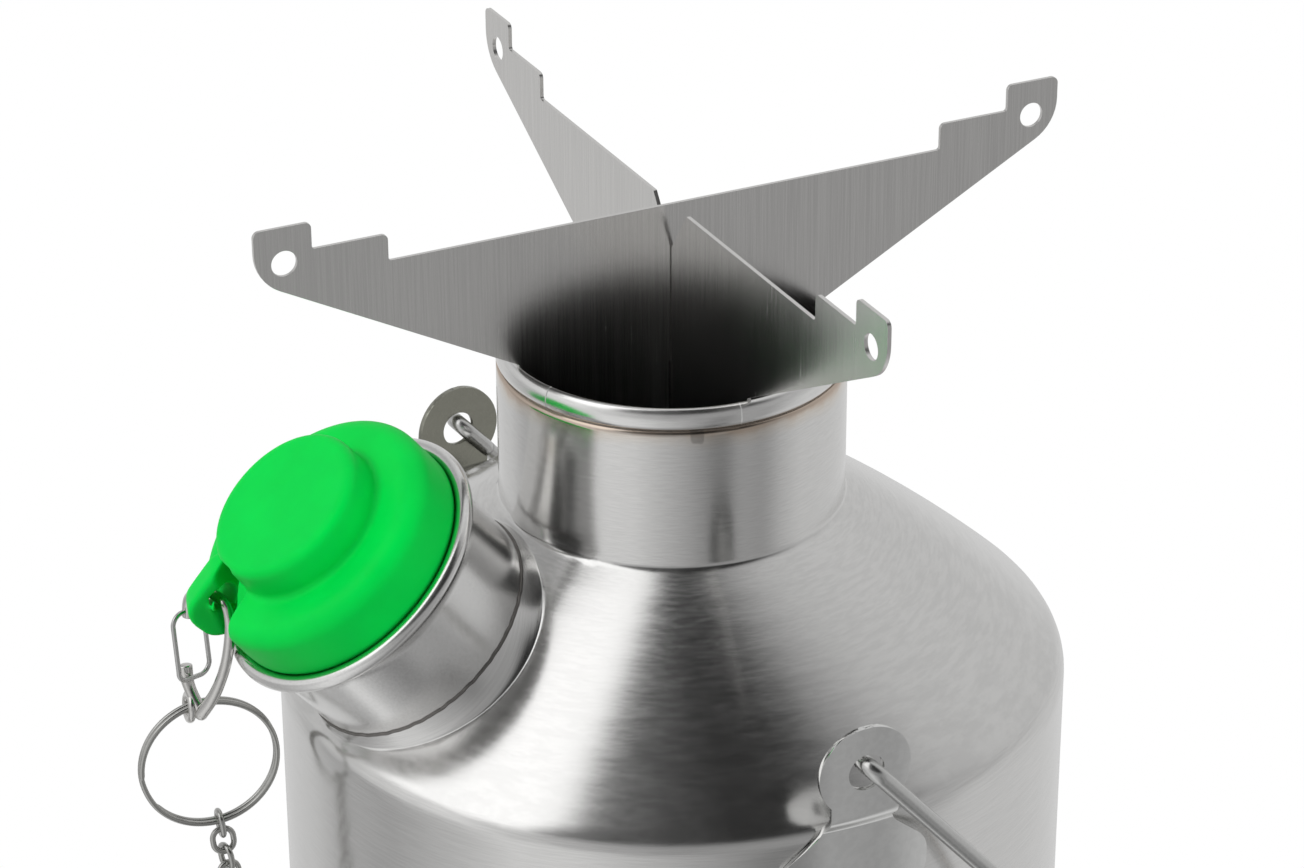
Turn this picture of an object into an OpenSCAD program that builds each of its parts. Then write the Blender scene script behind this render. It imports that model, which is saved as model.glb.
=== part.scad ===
// Storm kettle: a water jacket round a chimney, standing on a fire bowl.
// The origin is on the ground under the middle of the chimney, with +Z up.
// The spout leans towards -X, and the bail turns about an axis along Y.

/* [Kettle body] */
// Outer diameter of the straight wall
body_d = 140; // [136:1:146]
// Height of the straight wall, from the bottom seam to the shoulder corner
wall_h = 114.2; // [105:0.2:125]
// Height of the sloping shoulder
shoulder_h = 31.2; // [29:0.2:34]
// Outward bulge of the shoulder at its middle
shoulder_bulge = 1.1; // [0.4:0.1:1.6]
// Rounding of the corner between wall and shoulder
corner_r = 6; // [3:0.5:8]
// Rounding of the crease between shoulder and neck
crease_r = 2.4; // [1:0.2:4]
// Outer diameter of the neck
neck_d = 60.8; // [60:0.2:62]
// Height of the neck, from the crease to the chimney hem
neck_h = 25.6; // [22:0.2:30]
// Sheet thickness of the outer shell
shell_t = 0.6; // [0.5:0.1:0.7]

/* [Chimney] */
// Gap between the chimney tube and the inside of the neck
flue_gap = 0.1; // [0.1:0.05:0.3]
// Sheet thickness of the chimney
flue_t = 0.5; // [0.4:0.1:0.6]
// Height of the rolled hem at the mouth
hem_h = 4; // [3:0.2:5]
// Inner diameter of the cone at the fire
cone_d = 122; // [110:1:126]
// Height above the bottom seam where the cone meets the straight tube
cone_h = 140; // [110:1:150]

/* [Bottom seam] */
// Thickness of the ring that closes the water jacket
seam_t = 1; // [0.8:0.1:1.5]
// Height of its rolled outer edge
seam_lip_h = 4.6; // [3:0.2:6]
// How far the rolled edge reaches down past the bowl's rim
seam_drop = 1.4; // [0.6:0.1:2]

/* [Fire bowl] */
// Height of the bowl, up to the face that the kettle stands on
bowl_h = 60; // [52:1:75]
// Outer diameter of the flat foot
bowl_foot_d = 104; // [90:1:112]
// How far the middle of the rolled rim stands inside the kettle's wall
bowl_rim_inset = 3.5; // [2.5:0.5:6]
// Thickness of the rolled rim
bowl_roll_d = 3.6; // [2.6:0.2:4]
// Sheet thickness of the bowl
bowl_t = 0.7; // [0.5:0.1:1]
// Diameter of the air hole
air_hole_d = 34; // [24:1:38]

/* [Spout] */
// Distance of the rim's centre from the chimney's axis
spout_reach = 63; // [60:0.5:66]
// Height of the rim's centre below the chimney hem
spout_drop = 24; // [22:0.5:27]
// Angle of the spout's axis above the horizontal
spout_rise = 51.3; // [48:0.1:55]
// Outer diameter of the spout tube
spout_d = 44.6; // [42:0.2:46]
// Sheet thickness of the spout tube
spout_t = 0.6; // [0.5:0.1:0.8]
// Diameter of the wire-like roll round the rim
spout_roll_d = 3; // [2:0.2:3.6]
// Length of the tube, from the middle of the roll to its weld
spout_len = 19; // [17:0.5:21]
// Rounding of the collar that is drawn up to meet the tube
collar_r = 6.5; // [4:0.5:8]

/* [Ears] */
// Radius of the ear's round head
ear_head_r = 8.4; // [7.5:0.1:9.5]
// Height of the head's centre below the chimney hem
ear_drop = 44.4; // [42:0.2:46]
// Distance of the ears from the middle of the body, towards the spout
ear_shift = 5.3; // [0:0.1:8]
// Diameter of the hole for the bail
ear_hole_d = 6.6; // [6:0.1:7.6]
// Width of the waist under the head
ear_waist = 12.4; // [10:0.2:14]
// Width of the foot that is welded to the wall
ear_foot = 27.6; // [22:0.2:32]
// Sheet thickness of the ears
ear_t = 1; // [0.8:0.1:1.2]
// How far the head stands out from the foot's plane
ear_joggle = 2.15; // [1.5:0.05:3]

/* [Bail] */
// Wire diameter of the bail
wire_d = 3; // [2.6:0.1:3.4]
// Distance from the pivot to the grip's axis
bail_reach = 130; // [122:1:140]
// Height of the pivot above the centre of the ear's hole
bail_lift = 1.3; // [0.8:0.1:1.5]
// How much further out each leg is at the grip than at the ear
bail_splay = 8.5; // [6:0.5:12]
// Bending radius of the corners beside the grip
bail_bend = 14; // [8:1:18]
// Length of the turned-back end inside the ear
hook_len = 8.5; // [6:0.5:10]

/* [Grip] */
// Diameter of the wooden grip at its middle
grip_d = 20; // [18:0.5:24]
// Diameter of the grip at its ends
grip_end_d = 15; // [12:0.5:17]
// Length of the grip
grip_len = 96; // [80:1:110]
// Clearance of the grip on the wire, measured on the radius
grip_play = 0.25; // [0.15:0.05:0.4]

/* [Pot support] */
// Thickness of the two crossing plates
plate_t = 1; // [0.8:0.1:1.2]
// Reach of an arm from the middle
arm_reach = 75.75; // [70:0.25:82]
// Height of the highest step above the chimney hem
tip_h = 38; // [34:0.5:42]
// Height of each of the two steps in the top edge
step_h = 4.8; // [3:0.2:6]
// Length of the raised tip at the end of an arm
tip_len = 10.15; // [9:0.05:12]
// Length of the step between the tip and the low middle
step_len = 13.4; // [11:0.2:15]
// Height of an arm at its outer end
tip_t = 8.9; // [8:0.1:10]
// Diameter of the hole near each tip
tip_hole_d = 4.5; // [3:0.1:5.5]
// Distance from the arm's end to the middle of the hole
tip_hole_in = 5.2; // [4.8:0.1:5.6]
// Distance from the tip's top to the middle of the hole
tip_hole_down = 6.4; // [5:0.1:7]
// Depth of the plates inside the chimney, below the hem's foot
plate_depth = 22; // [16:1:30]
// Clearance of the plates in the chimney, on each side
plate_play = 0.15; // [0.1:0.05:0.25]
// Clearance in the crossing slots, on each side
slot_play = 0.15; // [0.1:0.05:0.25]
// Half width of the guiding mouth over the slot
slot_mouth = 6.3; // [4:0.1:8]

/* [Stopper] */
// Diameter of the soft plug
plug_d = 42.8; // [40:0.1:43]
// Depth of the plug below the middle of the rim's roll
plug_depth = 14; // [10:0.5:16]
// Diameter of the flange that covers the mouth
flange_d = 45.4; // [44:0.1:46]
// Height of the flange above the middle of the roll
flange_h = 12; // [10:0.2:13]
// Diameter of the raised knob
knob_d = 28.6; // [24:0.5:32]
// Height of the knob above the middle of the roll
knob_h = 19; // [17:0.2:22]
// Thickness of the lug that the clip hangs in
lug_t = 5; // [4:0.5:6]
// Direction of the lug, from straight down towards +Y
lug_turn = 24; // [10:1:40]
// Diameter of the hole in the lug
lug_hole_d = 5.2; // [4.6:0.1:6]

/* [Tether] */
// Compass direction of the clip and its hinge
clip_turn = -70; // [-80:1:-60]
// Lean of the clip away from the rim
clip_lean = 7; // [3:0.5:9]
// Outer diameter of the split ring
ring_d = 25; // [22:0.5:28]
// Wire thickness of the split ring
ring_wire = 1; // [0.8:0.1:1.1]
// Compass direction of the split ring's plane
ring_turn = -10; // [-20:1:0]
// Wire diameter of a chain link
link_wire = 1.05; // [0.9:0.05:1.15]
// Length of a chain link
link_len = 5.5; // [5.3:0.1:6]
// Width of a chain link
link_w = 4.7; // [4.6:0.1:5]
// Length of the larger link at the chain's lower end
end_link_len = 8.5; // [8:0.1:9.5]
// Width of the larger link
end_link_w = 5.6; // [5.2:0.1:6.5]
// Number of links in the chain
links = 32; // [31:1:35]
// Number of links from the split ring to the chain's lowest place
links_upper = 27; // [25:1:29]

/* [Chain bracket] */
// Compass direction of the bracket on the wall
bracket_turn = -152.4; // [-160:0.2:-145]
// Height of the bracket's hole above the ground
bracket_h = 87; // [82:1:100]
// Distance of the bracket's tongue from the wall
bracket_out = 4.6; // [4:0.1:6]
// Diameter of the bracket's hole
bracket_hole_d = 3.8; // [3.4:0.1:4.2]
// Diameter of its two rivet heads
rivet_d = 4.6; // [3.6:0.2:5]

/* [Hidden] */
$fn = 96;

fit = 0.1;
seat = 0.3;
body_r = body_d / 2;
neck_r = neck_d / 2;
seam_z = bowl_h;
shell_z = seam_z + seam_t;
corner_z = seam_z + wall_h;
crease_z = corner_z + shoulder_h;
hem_z = crease_z + neck_h;
shoulder_slope = atan(shoulder_h / (body_r - neck_r));
flue_r = neck_r - shell_t - flue_gap - flue_t;
hem_r = neck_r - 0.05;
cone_r = cone_d / 2;

// Small vector helpers
function unit(v) = v / norm(v);
function turned(v, a) = [v[0] * cos(a) - v[1] * sin(a), v[0] * sin(a) + v[1] * cos(a)];

// An outline with rounded corners: each entry is [x, y, radius]
function bend(a, b, c, r, n) =
    let (u = unit(a - b), v = unit(c - b), half = acos(u * v) / 2, m = b + unit(u + v) * r / sin(half),
        p = b + u * r / tan(half) - m, side = sign(u[0] * v[1] - u[1] * v[0]))
    [for (i = [0:n]) m + turned(p, -side * (180 - 2 * half) * i / n)];
function rounded(p, n = 6) =
    [for (i = [0:len(p) - 1])
        let (a = p[(i + len(p) - 1) % len(p)], b = p[i], c = p[(i + 1) % len(p)])
        each (b[2] > 0 ? bend([a[0], a[1]], [b[0], b[1]], [c[0], c[1]], b[2], n) : [[b[0], b[1]]])];
function mirrored(p) = concat(p, [for (i = [len(p) - 1:-1:0]) [-p[i][0], p[i][1], p[i][2]]]);

// A smooth curve through a few chosen points
function blend(a, b, c, d, t) = 0.5 * (2 * b + (c - a) * t + (2 * a - 5 * b + 4 * c - d) * t * t
    + (3 * b - a - 3 * c + d) * t * t * t);
function smooth(p, n) = concat([for (i = [0:len(p) - 2]) for (k = [0:n - 1])
    blend(p[max(i - 1, 0)], p[i], p[i + 1], p[min(i + 2, len(p) - 1)], k / n)], [p[len(p) - 1]]);

// A round wire along a path; ref is a direction that the path never follows
module wire(path, radii, ref, sides = 10, closed = false) {
    n = len(path);
    last = closed ? n : n - 1;
    rings = [for (i = [0:n - 1])
        let (a = path[closed ? (i + n - 1) % n : max(i - 1, 0)],
            b = path[closed ? (i + 1) % n : min(i + 1, n - 1)],
            t = unit(b - a), s = unit(cross(ref, t)), u = cross(t, s),
            r = is_list(radii) ? radii[i] : radii)
        [for (k = [0:sides - 1]) path[i] + r * (cos(360 * k / sides) * s + sin(360 * k / sides) * u)]];
    walls = [for (i = [0:last - 1]) for (k = [0:sides - 1])
        let (a = i * sides + k, b = i * sides + (k + 1) % sides,
            c = ((i + 1) % n) * sides + (k + 1) % sides, d = ((i + 1) % n) * sides + k)
        each [[a, c, b], [a, d, c]]];
    ends = closed ? [] : [[for (k = [0:sides - 1]) k], [for (k = [sides - 1:-1:0]) (n - 1) * sides + k]];
    polyhedron([for (r = rings) each r], concat(walls, ends), convexity = 6);
}

// Fire bowl: a spun dish with a rolled rim and one air hole
bowl_foot_r = bowl_foot_d / 2;
bowl_rim_r = body_r - bowl_rim_inset;
bowl_roll_r = bowl_roll_d / 2;
bowl_roll_z = bowl_h - seat - bowl_roll_r;
air_hole_z = bowl_h / 2;
module fire_bowl() {
    color("silver") difference() {
        rotate_extrude() union() {
            polygon(rounded([[0, 0, 0], [bowl_foot_r, 0, 6], [bowl_rim_r, bowl_roll_z, 0],
                [bowl_rim_r - bowl_t, bowl_roll_z, 0], [bowl_foot_r - bowl_t, bowl_t, 5], [0, bowl_t, 0]]));
            translate([bowl_rim_r, bowl_roll_z]) circle(r = bowl_roll_r);
        }
        translate([0, 0, air_hole_z]) rotate([90, 0, 0]) cylinder(d = air_hole_d, h = body_r);
    }
}

// Outline of the kettle's body, moved inwards by t and run on at both ends by extra
function shoulder(t) =
    let (s = t * tan(45 - shoulder_slope / 2), a = [neck_r - t, crease_z - s], b = [body_r - t, corner_z - s],
        out = [sin(shoulder_slope), cos(shoulder_slope)])
    [for (i = [8:-1:1]) let (u = i / 9)
        each [concat(a + (b - a) * u + out * 4 * shoulder_bulge * u * (1 - u), 0)]];
module body_form(t, extra) {
    s = t * tan(45 - shoulder_slope / 2);
    rotate_extrude() polygon(rounded(concat(
        [[0, shell_z - extra, 0], [body_r - t, shell_z - extra, 0], [body_r - t, corner_z - s, corner_r - t]],
        shoulder(t),
        [[neck_r - t, crease_z - s, crease_r + t], [neck_r - t, hem_z + extra, 0], [0, hem_z + extra, 0]])));
}

// The spout's own frame: its rim's centre at the origin, its axis along z
module spout_frame() {
    translate([-spout_reach, 0, hem_z - spout_drop]) rotate([0, spout_rise - 90, 0]) children();
}
spout_r = spout_d / 2;
collar_foot = 13;
module shell() {
    difference() {
        union() {
            body_form(0, 0);
            spout_frame() rotate_extrude() polygon(concat(
                [[spout_r - 3, -spout_len], [spout_r, -spout_len]],
                [for (a = [15:15:90]) [spout_r + collar_r * (1 - cos(a)), -spout_len - collar_r * sin(a)]],
                [[spout_r + collar_r, -spout_len - collar_foot], [spout_r - 3, -spout_len - collar_foot]]));
        }
        body_form(shell_t, 1);
        spout_frame() translate([0, 0, -spout_len - collar_foot - 1])
            cylinder(r = spout_r - spout_t, h = collar_foot + 3);
    }
}

// The part of a turned sheet between two heights
module slice(low, high) {
    intersection() {
        children();
        translate([0, 0, low]) cylinder(r = 2 * body_r, h = high - low);
    }
}

// The shell's three sheets, welded where they meet: wall, shoulder with the spout's collar, and neck
wall_top = corner_z - 2 * corner_r;
neck_low = crease_z + 2 * crease_r;
module shell_wall() {
    color("lightgray") slice(shell_z - 1, wall_top) shell();
}
module shell_shoulder() {
    color("lightgray") slice(wall_top + fit, neck_low) shell();
}
module shell_neck() {
    color("lightgray") slice(neck_low + fit, hem_z + 1) shell();
}

// Chimney: a cone over the fire, and a tube on it that is hemmed over the neck
flue_z = seam_z + seam_t;
flue_bend = 20;
flue_weld = seam_z + cone_h + flue_bend / 5;
module chimney() {
    rotate_extrude() polygon(rounded([
        [flue_r, hem_z + hem_h, 0.6], [flue_r, seam_z + cone_h, flue_bend], [cone_r, flue_z + fit, 0],
        [cone_r + flue_t, flue_z + fit, 0], [flue_r + flue_t, seam_z + cone_h, flue_bend],
        [flue_r + flue_t, hem_z + fit, 0], [hem_r, hem_z + fit, 0.3], [hem_r, hem_z + hem_h, 0.55]]));
}
module chimney_cone() {
    color("darkgray") slice(seam_z, flue_weld) chimney();
}
module chimney_tube() {
    color("darkgray") slice(flue_weld + fit, hem_z + 2 * hem_h) chimney();
}

// Bottom seam: the ring that joins shell and cone, with a lip round the outside
module bottom_seam() {
    seam_out = body_r + fit;
    lip_low = seam_z - seam_drop;
    lip_top = lip_low + seam_lip_h;
    color("gray") rotate_extrude() polygon(rounded([
        [cone_r, seam_z, 0], [seam_out - seam_t / 2, seam_z, 0], [seam_out - seam_t / 2, lip_low, 0.3],
        [seam_out + seam_t, lip_low, 0.45], [seam_out + seam_t, lip_top, 0.45], [seam_out, lip_top, 0.3],
        [seam_out, shell_z, 0], [cone_r, shell_z, 0]]));
}

// Spout: a short tube with a roll round its mouth
roll_r = spout_roll_d / 2;
roll_c = spout_r + roll_r - 0.05;
module spout() {
    color("silver") spout_frame() rotate_extrude() union() {
        translate([spout_r - spout_t, fit / 2 - spout_len]) square([spout_t, spout_len]);
        translate([roll_c, 0]) circle(r = roll_r);
    }
}

// Ears: curved plates with a round head that stands clear of the shoulder
ear_z = hem_z - ear_drop;
ear_r = body_r + 0.05;
ear_kink_z = ear_z - 10;
ear_foot_top = corner_z - 5.6;
ear_foot_z = corner_z - 14.7;
module ear(side) {
    head_r = ear_r + ear_joggle;
    top = ear_z + ear_head_r + 1;
    half_w = ear_waist / 2;
    half_f = ear_foot / 2;
    neck_a = acos(half_w / ear_head_r);
    head = [for (i = [0:24]) let (a = -neck_a + (180 + 2 * neck_a) * i / 24)
        [ear_head_r * cos(a), ear_z + ear_head_r * sin(a), 0]];
    foot = [[-half_w, corner_z + 0.8, 4], [-half_f, ear_foot_top, 5], [-half_f, ear_foot_z, 5.5]];
    color("gainsboro") difference() {
        intersection() {
            rotate_extrude() polygon([[ear_r, ear_foot_z - 1], [ear_r + ear_t, ear_foot_z - 1],
                [ear_r + ear_t, ear_kink_z], [head_r + ear_t, ear_kink_z + ear_joggle],
                [head_r + ear_t, top], [head_r, top], [head_r, ear_kink_z + ear_joggle + 0.4],
                [ear_r, ear_kink_z + 0.4]]);
            translate([-ear_shift, 0, 0]) rotate([90, 0, 0]) mirror([0, 0, side > 0 ? 1 : 0])
                linear_extrude(height = body_r + 10) polygon(rounded(concat(head, mirrored(foot))));
        }
        translate([-ear_shift, 0, ear_z]) rotate([90, 0, 0]) mirror([0, 0, side > 0 ? 1 : 0])
            cylinder(d = ear_hole_d, h = body_r + 10);
    }
}
module ear_near() { ear(-1); }
module ear_far() { ear(1); }

// Bail: one wire, hooked through both ears, lying against the wall at rest
wire_r = wire_d / 2;
// A hair thicker where a bend meets a straight run, so that the two become one solid
joint_r = wire_r + 0.02;
pivot_z = ear_z + bail_lift;
ear_mid = sqrt(pow(ear_r + ear_joggle + ear_t / 2, 2) - pow(ear_shift, 2));
hook_r = ear_t / 2 + 0.4 + wire_r;
leg_y = ear_mid + hook_r;
rest_x = body_r + seat + grip_d / 2;
rest_angle = acos((rest_x + ear_shift) / bail_reach);
leg_tilt = atan(bail_splay / bail_reach);
leg_len = (bail_reach - hook_r) / cos(leg_tilt);
corner_turn = 90 + leg_tilt;
corner_cut = bail_bend * tan(corner_turn / 2);
module bail_frame() {
    translate([-ear_shift, 0, pivot_z]) rotate([0, rest_angle, 0]) children();
}
// Half of the wire, in a frame with x towards the grip and y outwards
module half_bail() {
    // The hook is a half turn whose top passes through the ear
    translate([hook_r, ear_mid, 0]) rotate([0, 0, 90]) rotate_extrude(angle = 180)
        translate([hook_r, 0]) circle(r = wire_r);
    translate([hook_r, ear_mid - hook_r, 0]) rotate([0, 90, 0]) cylinder(r = wire_r, h = hook_len - hook_r);
    translate([hook_r, leg_y, 0]) {
        sphere(r = joint_r);
        rotate([0, 0, leg_tilt]) {
            rotate([0, 90, 0]) cylinder(r = wire_r, h = leg_len - corner_cut);
            translate([leg_len - corner_cut, 0, 0]) sphere(r = joint_r);
            translate([leg_len - corner_cut, -bail_bend, 0]) rotate([0, 0, 90 - corner_turn])
                rotate_extrude(angle = corner_turn) translate([bail_bend, 0]) circle(r = wire_r);
        }
    }
    translate([bail_reach, straight_half, 0]) sphere(r = joint_r);
}
straight_half = leg_y + leg_len * sin(leg_tilt) - corner_cut;
module bail() {
    color("silver") bail_frame() {
        half_bail();
        mirror([0, 1, 0]) half_bail();
        translate([bail_reach, 0, 0]) rotate([90, 0, 0])
            cylinder(r = wire_r, h = 2 * straight_half, center = true);
    }
}

// Grip: a turned wooden handle, free to spin on the wire
module grip() {
    bore_r = wire_r + grip_play;
    half_l = grip_len / 2;
    color("peru") bail_frame() translate([bail_reach, 0, 0]) rotate([90, 0, 0]) rotate_extrude()
        polygon(concat([[bore_r, half_l], [bore_r, -half_l]],
            [for (a = [-90:15:-15]) [grip_end_d / 2 - 2.5 + 2.5 * cos(a), -half_l + 2.5 + 2.5 * sin(a)]],
            [for (i = [0:12]) let (y = -half_l + 2.5 + (grip_len - 5) * i / 12)
                [grip_end_d / 2 + (grip_d - grip_end_d) / 2 * (1 - pow(abs(y) / (half_l - 2.5), 2.4)), y]],
            [for (a = [15:15:90]) [grip_end_d / 2 - 2.5 + 2.5 * cos(a), half_l - 2.5 + 2.5 * sin(a)]]));
}

// Pot support: two plates that slot into each other and drop into the chimney
plate_in = flue_r - plate_play;
plate_seat_z = hem_z + hem_h + seat;
mid_z = hem_z - 1;
tip_z = hem_z + tip_h;
step_1_z = tip_z - 2 * step_h;
step_2_z = tip_z - step_h;
step_2 = arm_reach - tip_len;
step_1 = step_2 - step_len;
plate_a_turn = -3.6;
plate_b_turn = 86.4;
module pot_plate(from_above) {
    under = tip_z - tip_t;
    slot_w = plate_t + 2 * slot_play;
    rotate([90, 0, 0]) linear_extrude(height = plate_t, center = true) difference() {
        polygon(rounded(concat(
            [[plate_in, hem_z - plate_depth, 1.5], [plate_in, plate_seat_z, 0], [arm_reach, under, 8],
                [arm_reach, tip_z, 1.2], [step_2, tip_z, 1], [step_2, step_2_z, 0.6],
                [step_1, step_2_z, 1], [step_1, step_1_z, 0.6]],
            [[-step_1, step_1_z, 0.6], [-step_1, step_2_z, 1], [-step_2, step_2_z, 0.6],
                [-step_2, tip_z, 1], [-arm_reach, tip_z, 1.2], [-arm_reach, under, 8],
                [-plate_in, plate_seat_z, 0], [-plate_in, hem_z - plate_depth, 1.5]])));
        for (s = [-1, 1]) translate([s * (arm_reach - tip_hole_in), tip_z - tip_hole_down])
            circle(d = tip_hole_d);
        if (from_above) {
            translate([-slot_w / 2, mid_z - slot_play]) square([slot_w, tip_h]);
            polygon([[-slot_w / 2, step_1_z - 7.9], [-slot_mouth, step_1_z], [-slot_mouth, step_1_z + 1],
                [slot_mouth, step_1_z + 1], [slot_mouth, step_1_z], [slot_w / 2, step_1_z - 7.9]]);
        }
        else translate([-slot_w / 2, hem_z - plate_depth - 1])
            square([slot_w, mid_z + slot_play - hem_z + plate_depth + 1]);
    }
}
module pot_plate_lower() { color("darkgray") rotate([0, 0, plate_b_turn]) pot_plate(true); }
module pot_plate_upper() { color("gray") rotate([0, 0, plate_a_turn]) pot_plate(false); }

// Stopper: a soft plug with a hollow underside, a knob and a lug for the clip
plug_r = plug_d / 2;
flange_r = flange_d / 2;
knob_r = knob_d / 2;
plug_wall = 4.5;
whistle_r = 8;
whistle_z = -1;
whistle_t = 0.6;
whistle_gap = 3.4;
port_r = 2;
port_z = flange_h + port_r + 0.6;
flange_round = 3.6;
knob_round = 1.6;
lug_top = knob_h - 3.4;
lug_pocket_w = 3;
lug_reach = 27.2;
lug_hole = [20.2, 9.9];
lug_hole_turn = 100;
lug_groove_x = 0.9;
lug_groove_w = 3.6;
lug_groove_y = 3.2;
lip = roll_r + seat;
lug_spot = [-lug_hole[0] * cos(lug_turn), lug_hole[0] * sin(lug_turn), lug_hole[1]];
rise_s = sin(spout_rise);
rise_c = cos(spout_rise);
lug_at = [-spout_reach + lug_spot[0] * rise_s - lug_spot[2] * rise_c, lug_spot[1],
    hem_z - spout_drop + lug_spot[0] * rise_c + lug_spot[2] * rise_s];
module stopper() {
    color([0, 0.78, 0.33]) difference() {
        spout_frame() difference() {
            union() {
                rotate_extrude() polygon(concat(rounded([[0, -plug_depth, 0], [plug_r, -plug_depth, 2],
                    [plug_r, 0.2, 0]]),
                    [for (a = [160:-20:100]) [roll_c + lip * cos(a), lip * sin(a)]],
                    rounded([[flange_r, lip + 0.2, 0], [flange_r, flange_h, flange_round],
                        [knob_r + 0.2, flange_h, 0.8], [knob_r, knob_h, knob_round], [0, knob_h, 0]])));
                rotate([0, 0, 180 - lug_turn]) rotate([90, 0, 0])
                    linear_extrude(height = lug_t, center = true)
                    polygon(rounded([[9, 3, 0], [9, lug_top, 0], [knob_r + 3, lug_top, 4],
                        [lug_reach, lug_top - 4.2, 5], [lug_reach - 0.8, 4, 3],
                        [flange_r - 0.6, lip + 0.2, 0.8], [flange_r - 4, 3, 0]]));
            }
            translate([0, 0, -plug_depth - 1])
                cylinder(r = plug_r - plug_wall, h = plug_depth + whistle_z + 1);
            translate([0, 0, whistle_z - 1]) cylinder(r = whistle_r, h = 1 + 2 * whistle_t + whistle_gap + 2);
            cylinder(r = 3, h = port_z + 1.5 * port_r);
            translate([0, 0, port_z]) rotate([-90, 0, 0]) cylinder(r = port_r, h = knob_r + 2);
        }
        translate(lug_at) rotate([0, 0, lug_hole_turn]) rotate([0, 90, 0])
            cylinder(d = lug_hole_d, h = lug_t + 5, center = true);
        clip_frame() translate([lug_groove_x, -8, -10]) {
            cube([lug_groove_w, 8 + lug_groove_y, 9.4]);
            translate([lug_t / 2 - lug_groove_x, 0, 0]) cube([lug_pocket_w, 8 + lug_groove_y, 20]);
        }
    }
}
module whistle_plates() {
    color("silver") spout_frame() for (z = [whistle_z, whistle_z + whistle_t + whistle_gap])
        translate([0, 0, z]) difference() {
            cylinder(r = whistle_r, h = whistle_t);
            translate([0, 0, -1]) cylinder(r = 1.2, h = 3);
        }
}
module whistle_spacer() {
    color("silver") spout_frame() translate([0, 0, whistle_z + whistle_t]) difference() {
        cylinder(r = whistle_r, h = whistle_gap);
        translate([0, 0, -1]) cylinder(r = whistle_r - whistle_t, h = whistle_gap + 2);
    }
}

// Clip: a cast hook whose back passes through the lug, with a wire gate
clip_at = lug_at - [0, 0, 1.35];
gate_top = [-6.9, 0, -4.3];
gate_low = [-5.1, 0, -16.2];
gate_r = 0.425;
gate_w = 3.6;
gate_bend = 2;
gate_play = 0.12;
eye_at = [-5.9, 0, -22];
module clip_frame() {
    translate(clip_at) rotate([0, 0, clip_turn]) rotate([-clip_lean, 0, 0]) children();
}
module clip() {
    back = smooth([[-6.9, 0, -5.6], [-6.7, 0, -2.2], [-4.3, 0, 0.3], [-1, 0, 0.6], [1.7, 0, -0.4],
        [2.95, 0, -3.8],
        [2.8, 0, -8.6], [1.8, 0, -13.2], [-0.3, 0, -18.2], [-3.6, 0, -23.2]], 3);
    nose = smooth([[-2.6, 0, -22], [-4.8, 0, -20], [-6.6, 0, -17.3], [-7.3, 0, -14.4]], 3);
    color("silver") clip_frame() difference() {
        union() {
            wire(back, [for (i = [0:len(back) - 1]) i < 3 || i > len(back) - 3 ? 1.15 : 0.95], [0, 1, 0]);
            wire(nose, [for (i = [0:len(nose) - 1]) i > len(nose) - 3 ? 1.2 : 1], [0, 1, 0]);
            translate(eye_at) rotate([0, 0, clip_eye_turn]) rotate([90, 0, 0]) rotate_extrude($fn = 24)
                translate([2.2, 0]) circle(r = 0.7, $fn = 16);
        }
        translate(gate_top) rotate([90, 0, 0])
            cylinder(r = gate_r + gate_play, h = 6, center = true, $fn = 24);
    }
}
clip_eye_turn = ring_turn - clip_turn - 90;
module clip_gate() {
    color("silver") clip_frame() wire([for (c = [[1, 1, 0], [-1, 1, 90], [-1, -1, 180], [1, -1, 270]])
        for (a = [0:22.5:90]) let (end = c[1] > 0 ? gate_top : gate_low)
            [end[0], c[0] * (gate_w - gate_bend) + gate_bend * cos(c[2] + a),
                end[2] + gate_bend * (sin(c[2] + a) - c[1])]],
        gate_r, [1, 0, 0], 8, true);
}

// Split ring: two turns of wire through the clip's eye
ring_r = ring_d / 2 - ring_wire / 2;
function clip_point(p) =
    let (y = p[1] * cos(clip_lean) + p[2] * sin(clip_lean), z = p[2] * cos(clip_lean) - p[1] * sin(clip_lean),
        h = turned([p[0], y], clip_turn))
    clip_at + [h[0], h[1], z];
ring_top = clip_point(eye_at);
ring_along = [cos(ring_turn), sin(ring_turn), 0];
ring_top_turn = 14;
ring_low_turn = 6;
ring_c = ring_top + ring_r * (sin(ring_top_turn) * ring_along - [0, 0, cos(ring_top_turn)]);
ring_low = ring_c + ring_r * (sin(ring_low_turn) * ring_along - [0, 0, cos(ring_low_turn)]);
module split_ring() {
    steps = 48;
    color("silver") translate(ring_c) rotate([0, 0, ring_turn]) rotate([90, 0, 0])
        wire([for (i = [0:2 * steps - 1]) let (a = 360 * i / steps, z = (i / steps - 1) * (ring_wire + 0.02))
            [ring_r * cos(a), ring_r * sin(a), z]], ring_wire / 2 - 0.01, [0, 0, 1], 8);
}

// Chain: links along a catenary from the split ring to the bracket
bracket_r = body_r + bracket_out + ear_t / 2;
bracket_spot = [bracket_r * cos(bracket_turn), bracket_r * sin(bracket_turn), bracket_h];
link_r = link_wire / 2;
link_half = link_len / 2 - link_r;
link_pitch = link_len - 2 * link_wire - 0.1;
chain_from = ring_low;
chain_gap = bracket_spot - chain_from;
chain_turn = atan2(chain_gap[1], chain_gap[0]);
chain_run = norm([chain_gap[0], chain_gap[1]]);
chain_fall = -chain_gap[2];
link_in = link_w / 2 - link_wire;
link_play = 0.2;
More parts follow.
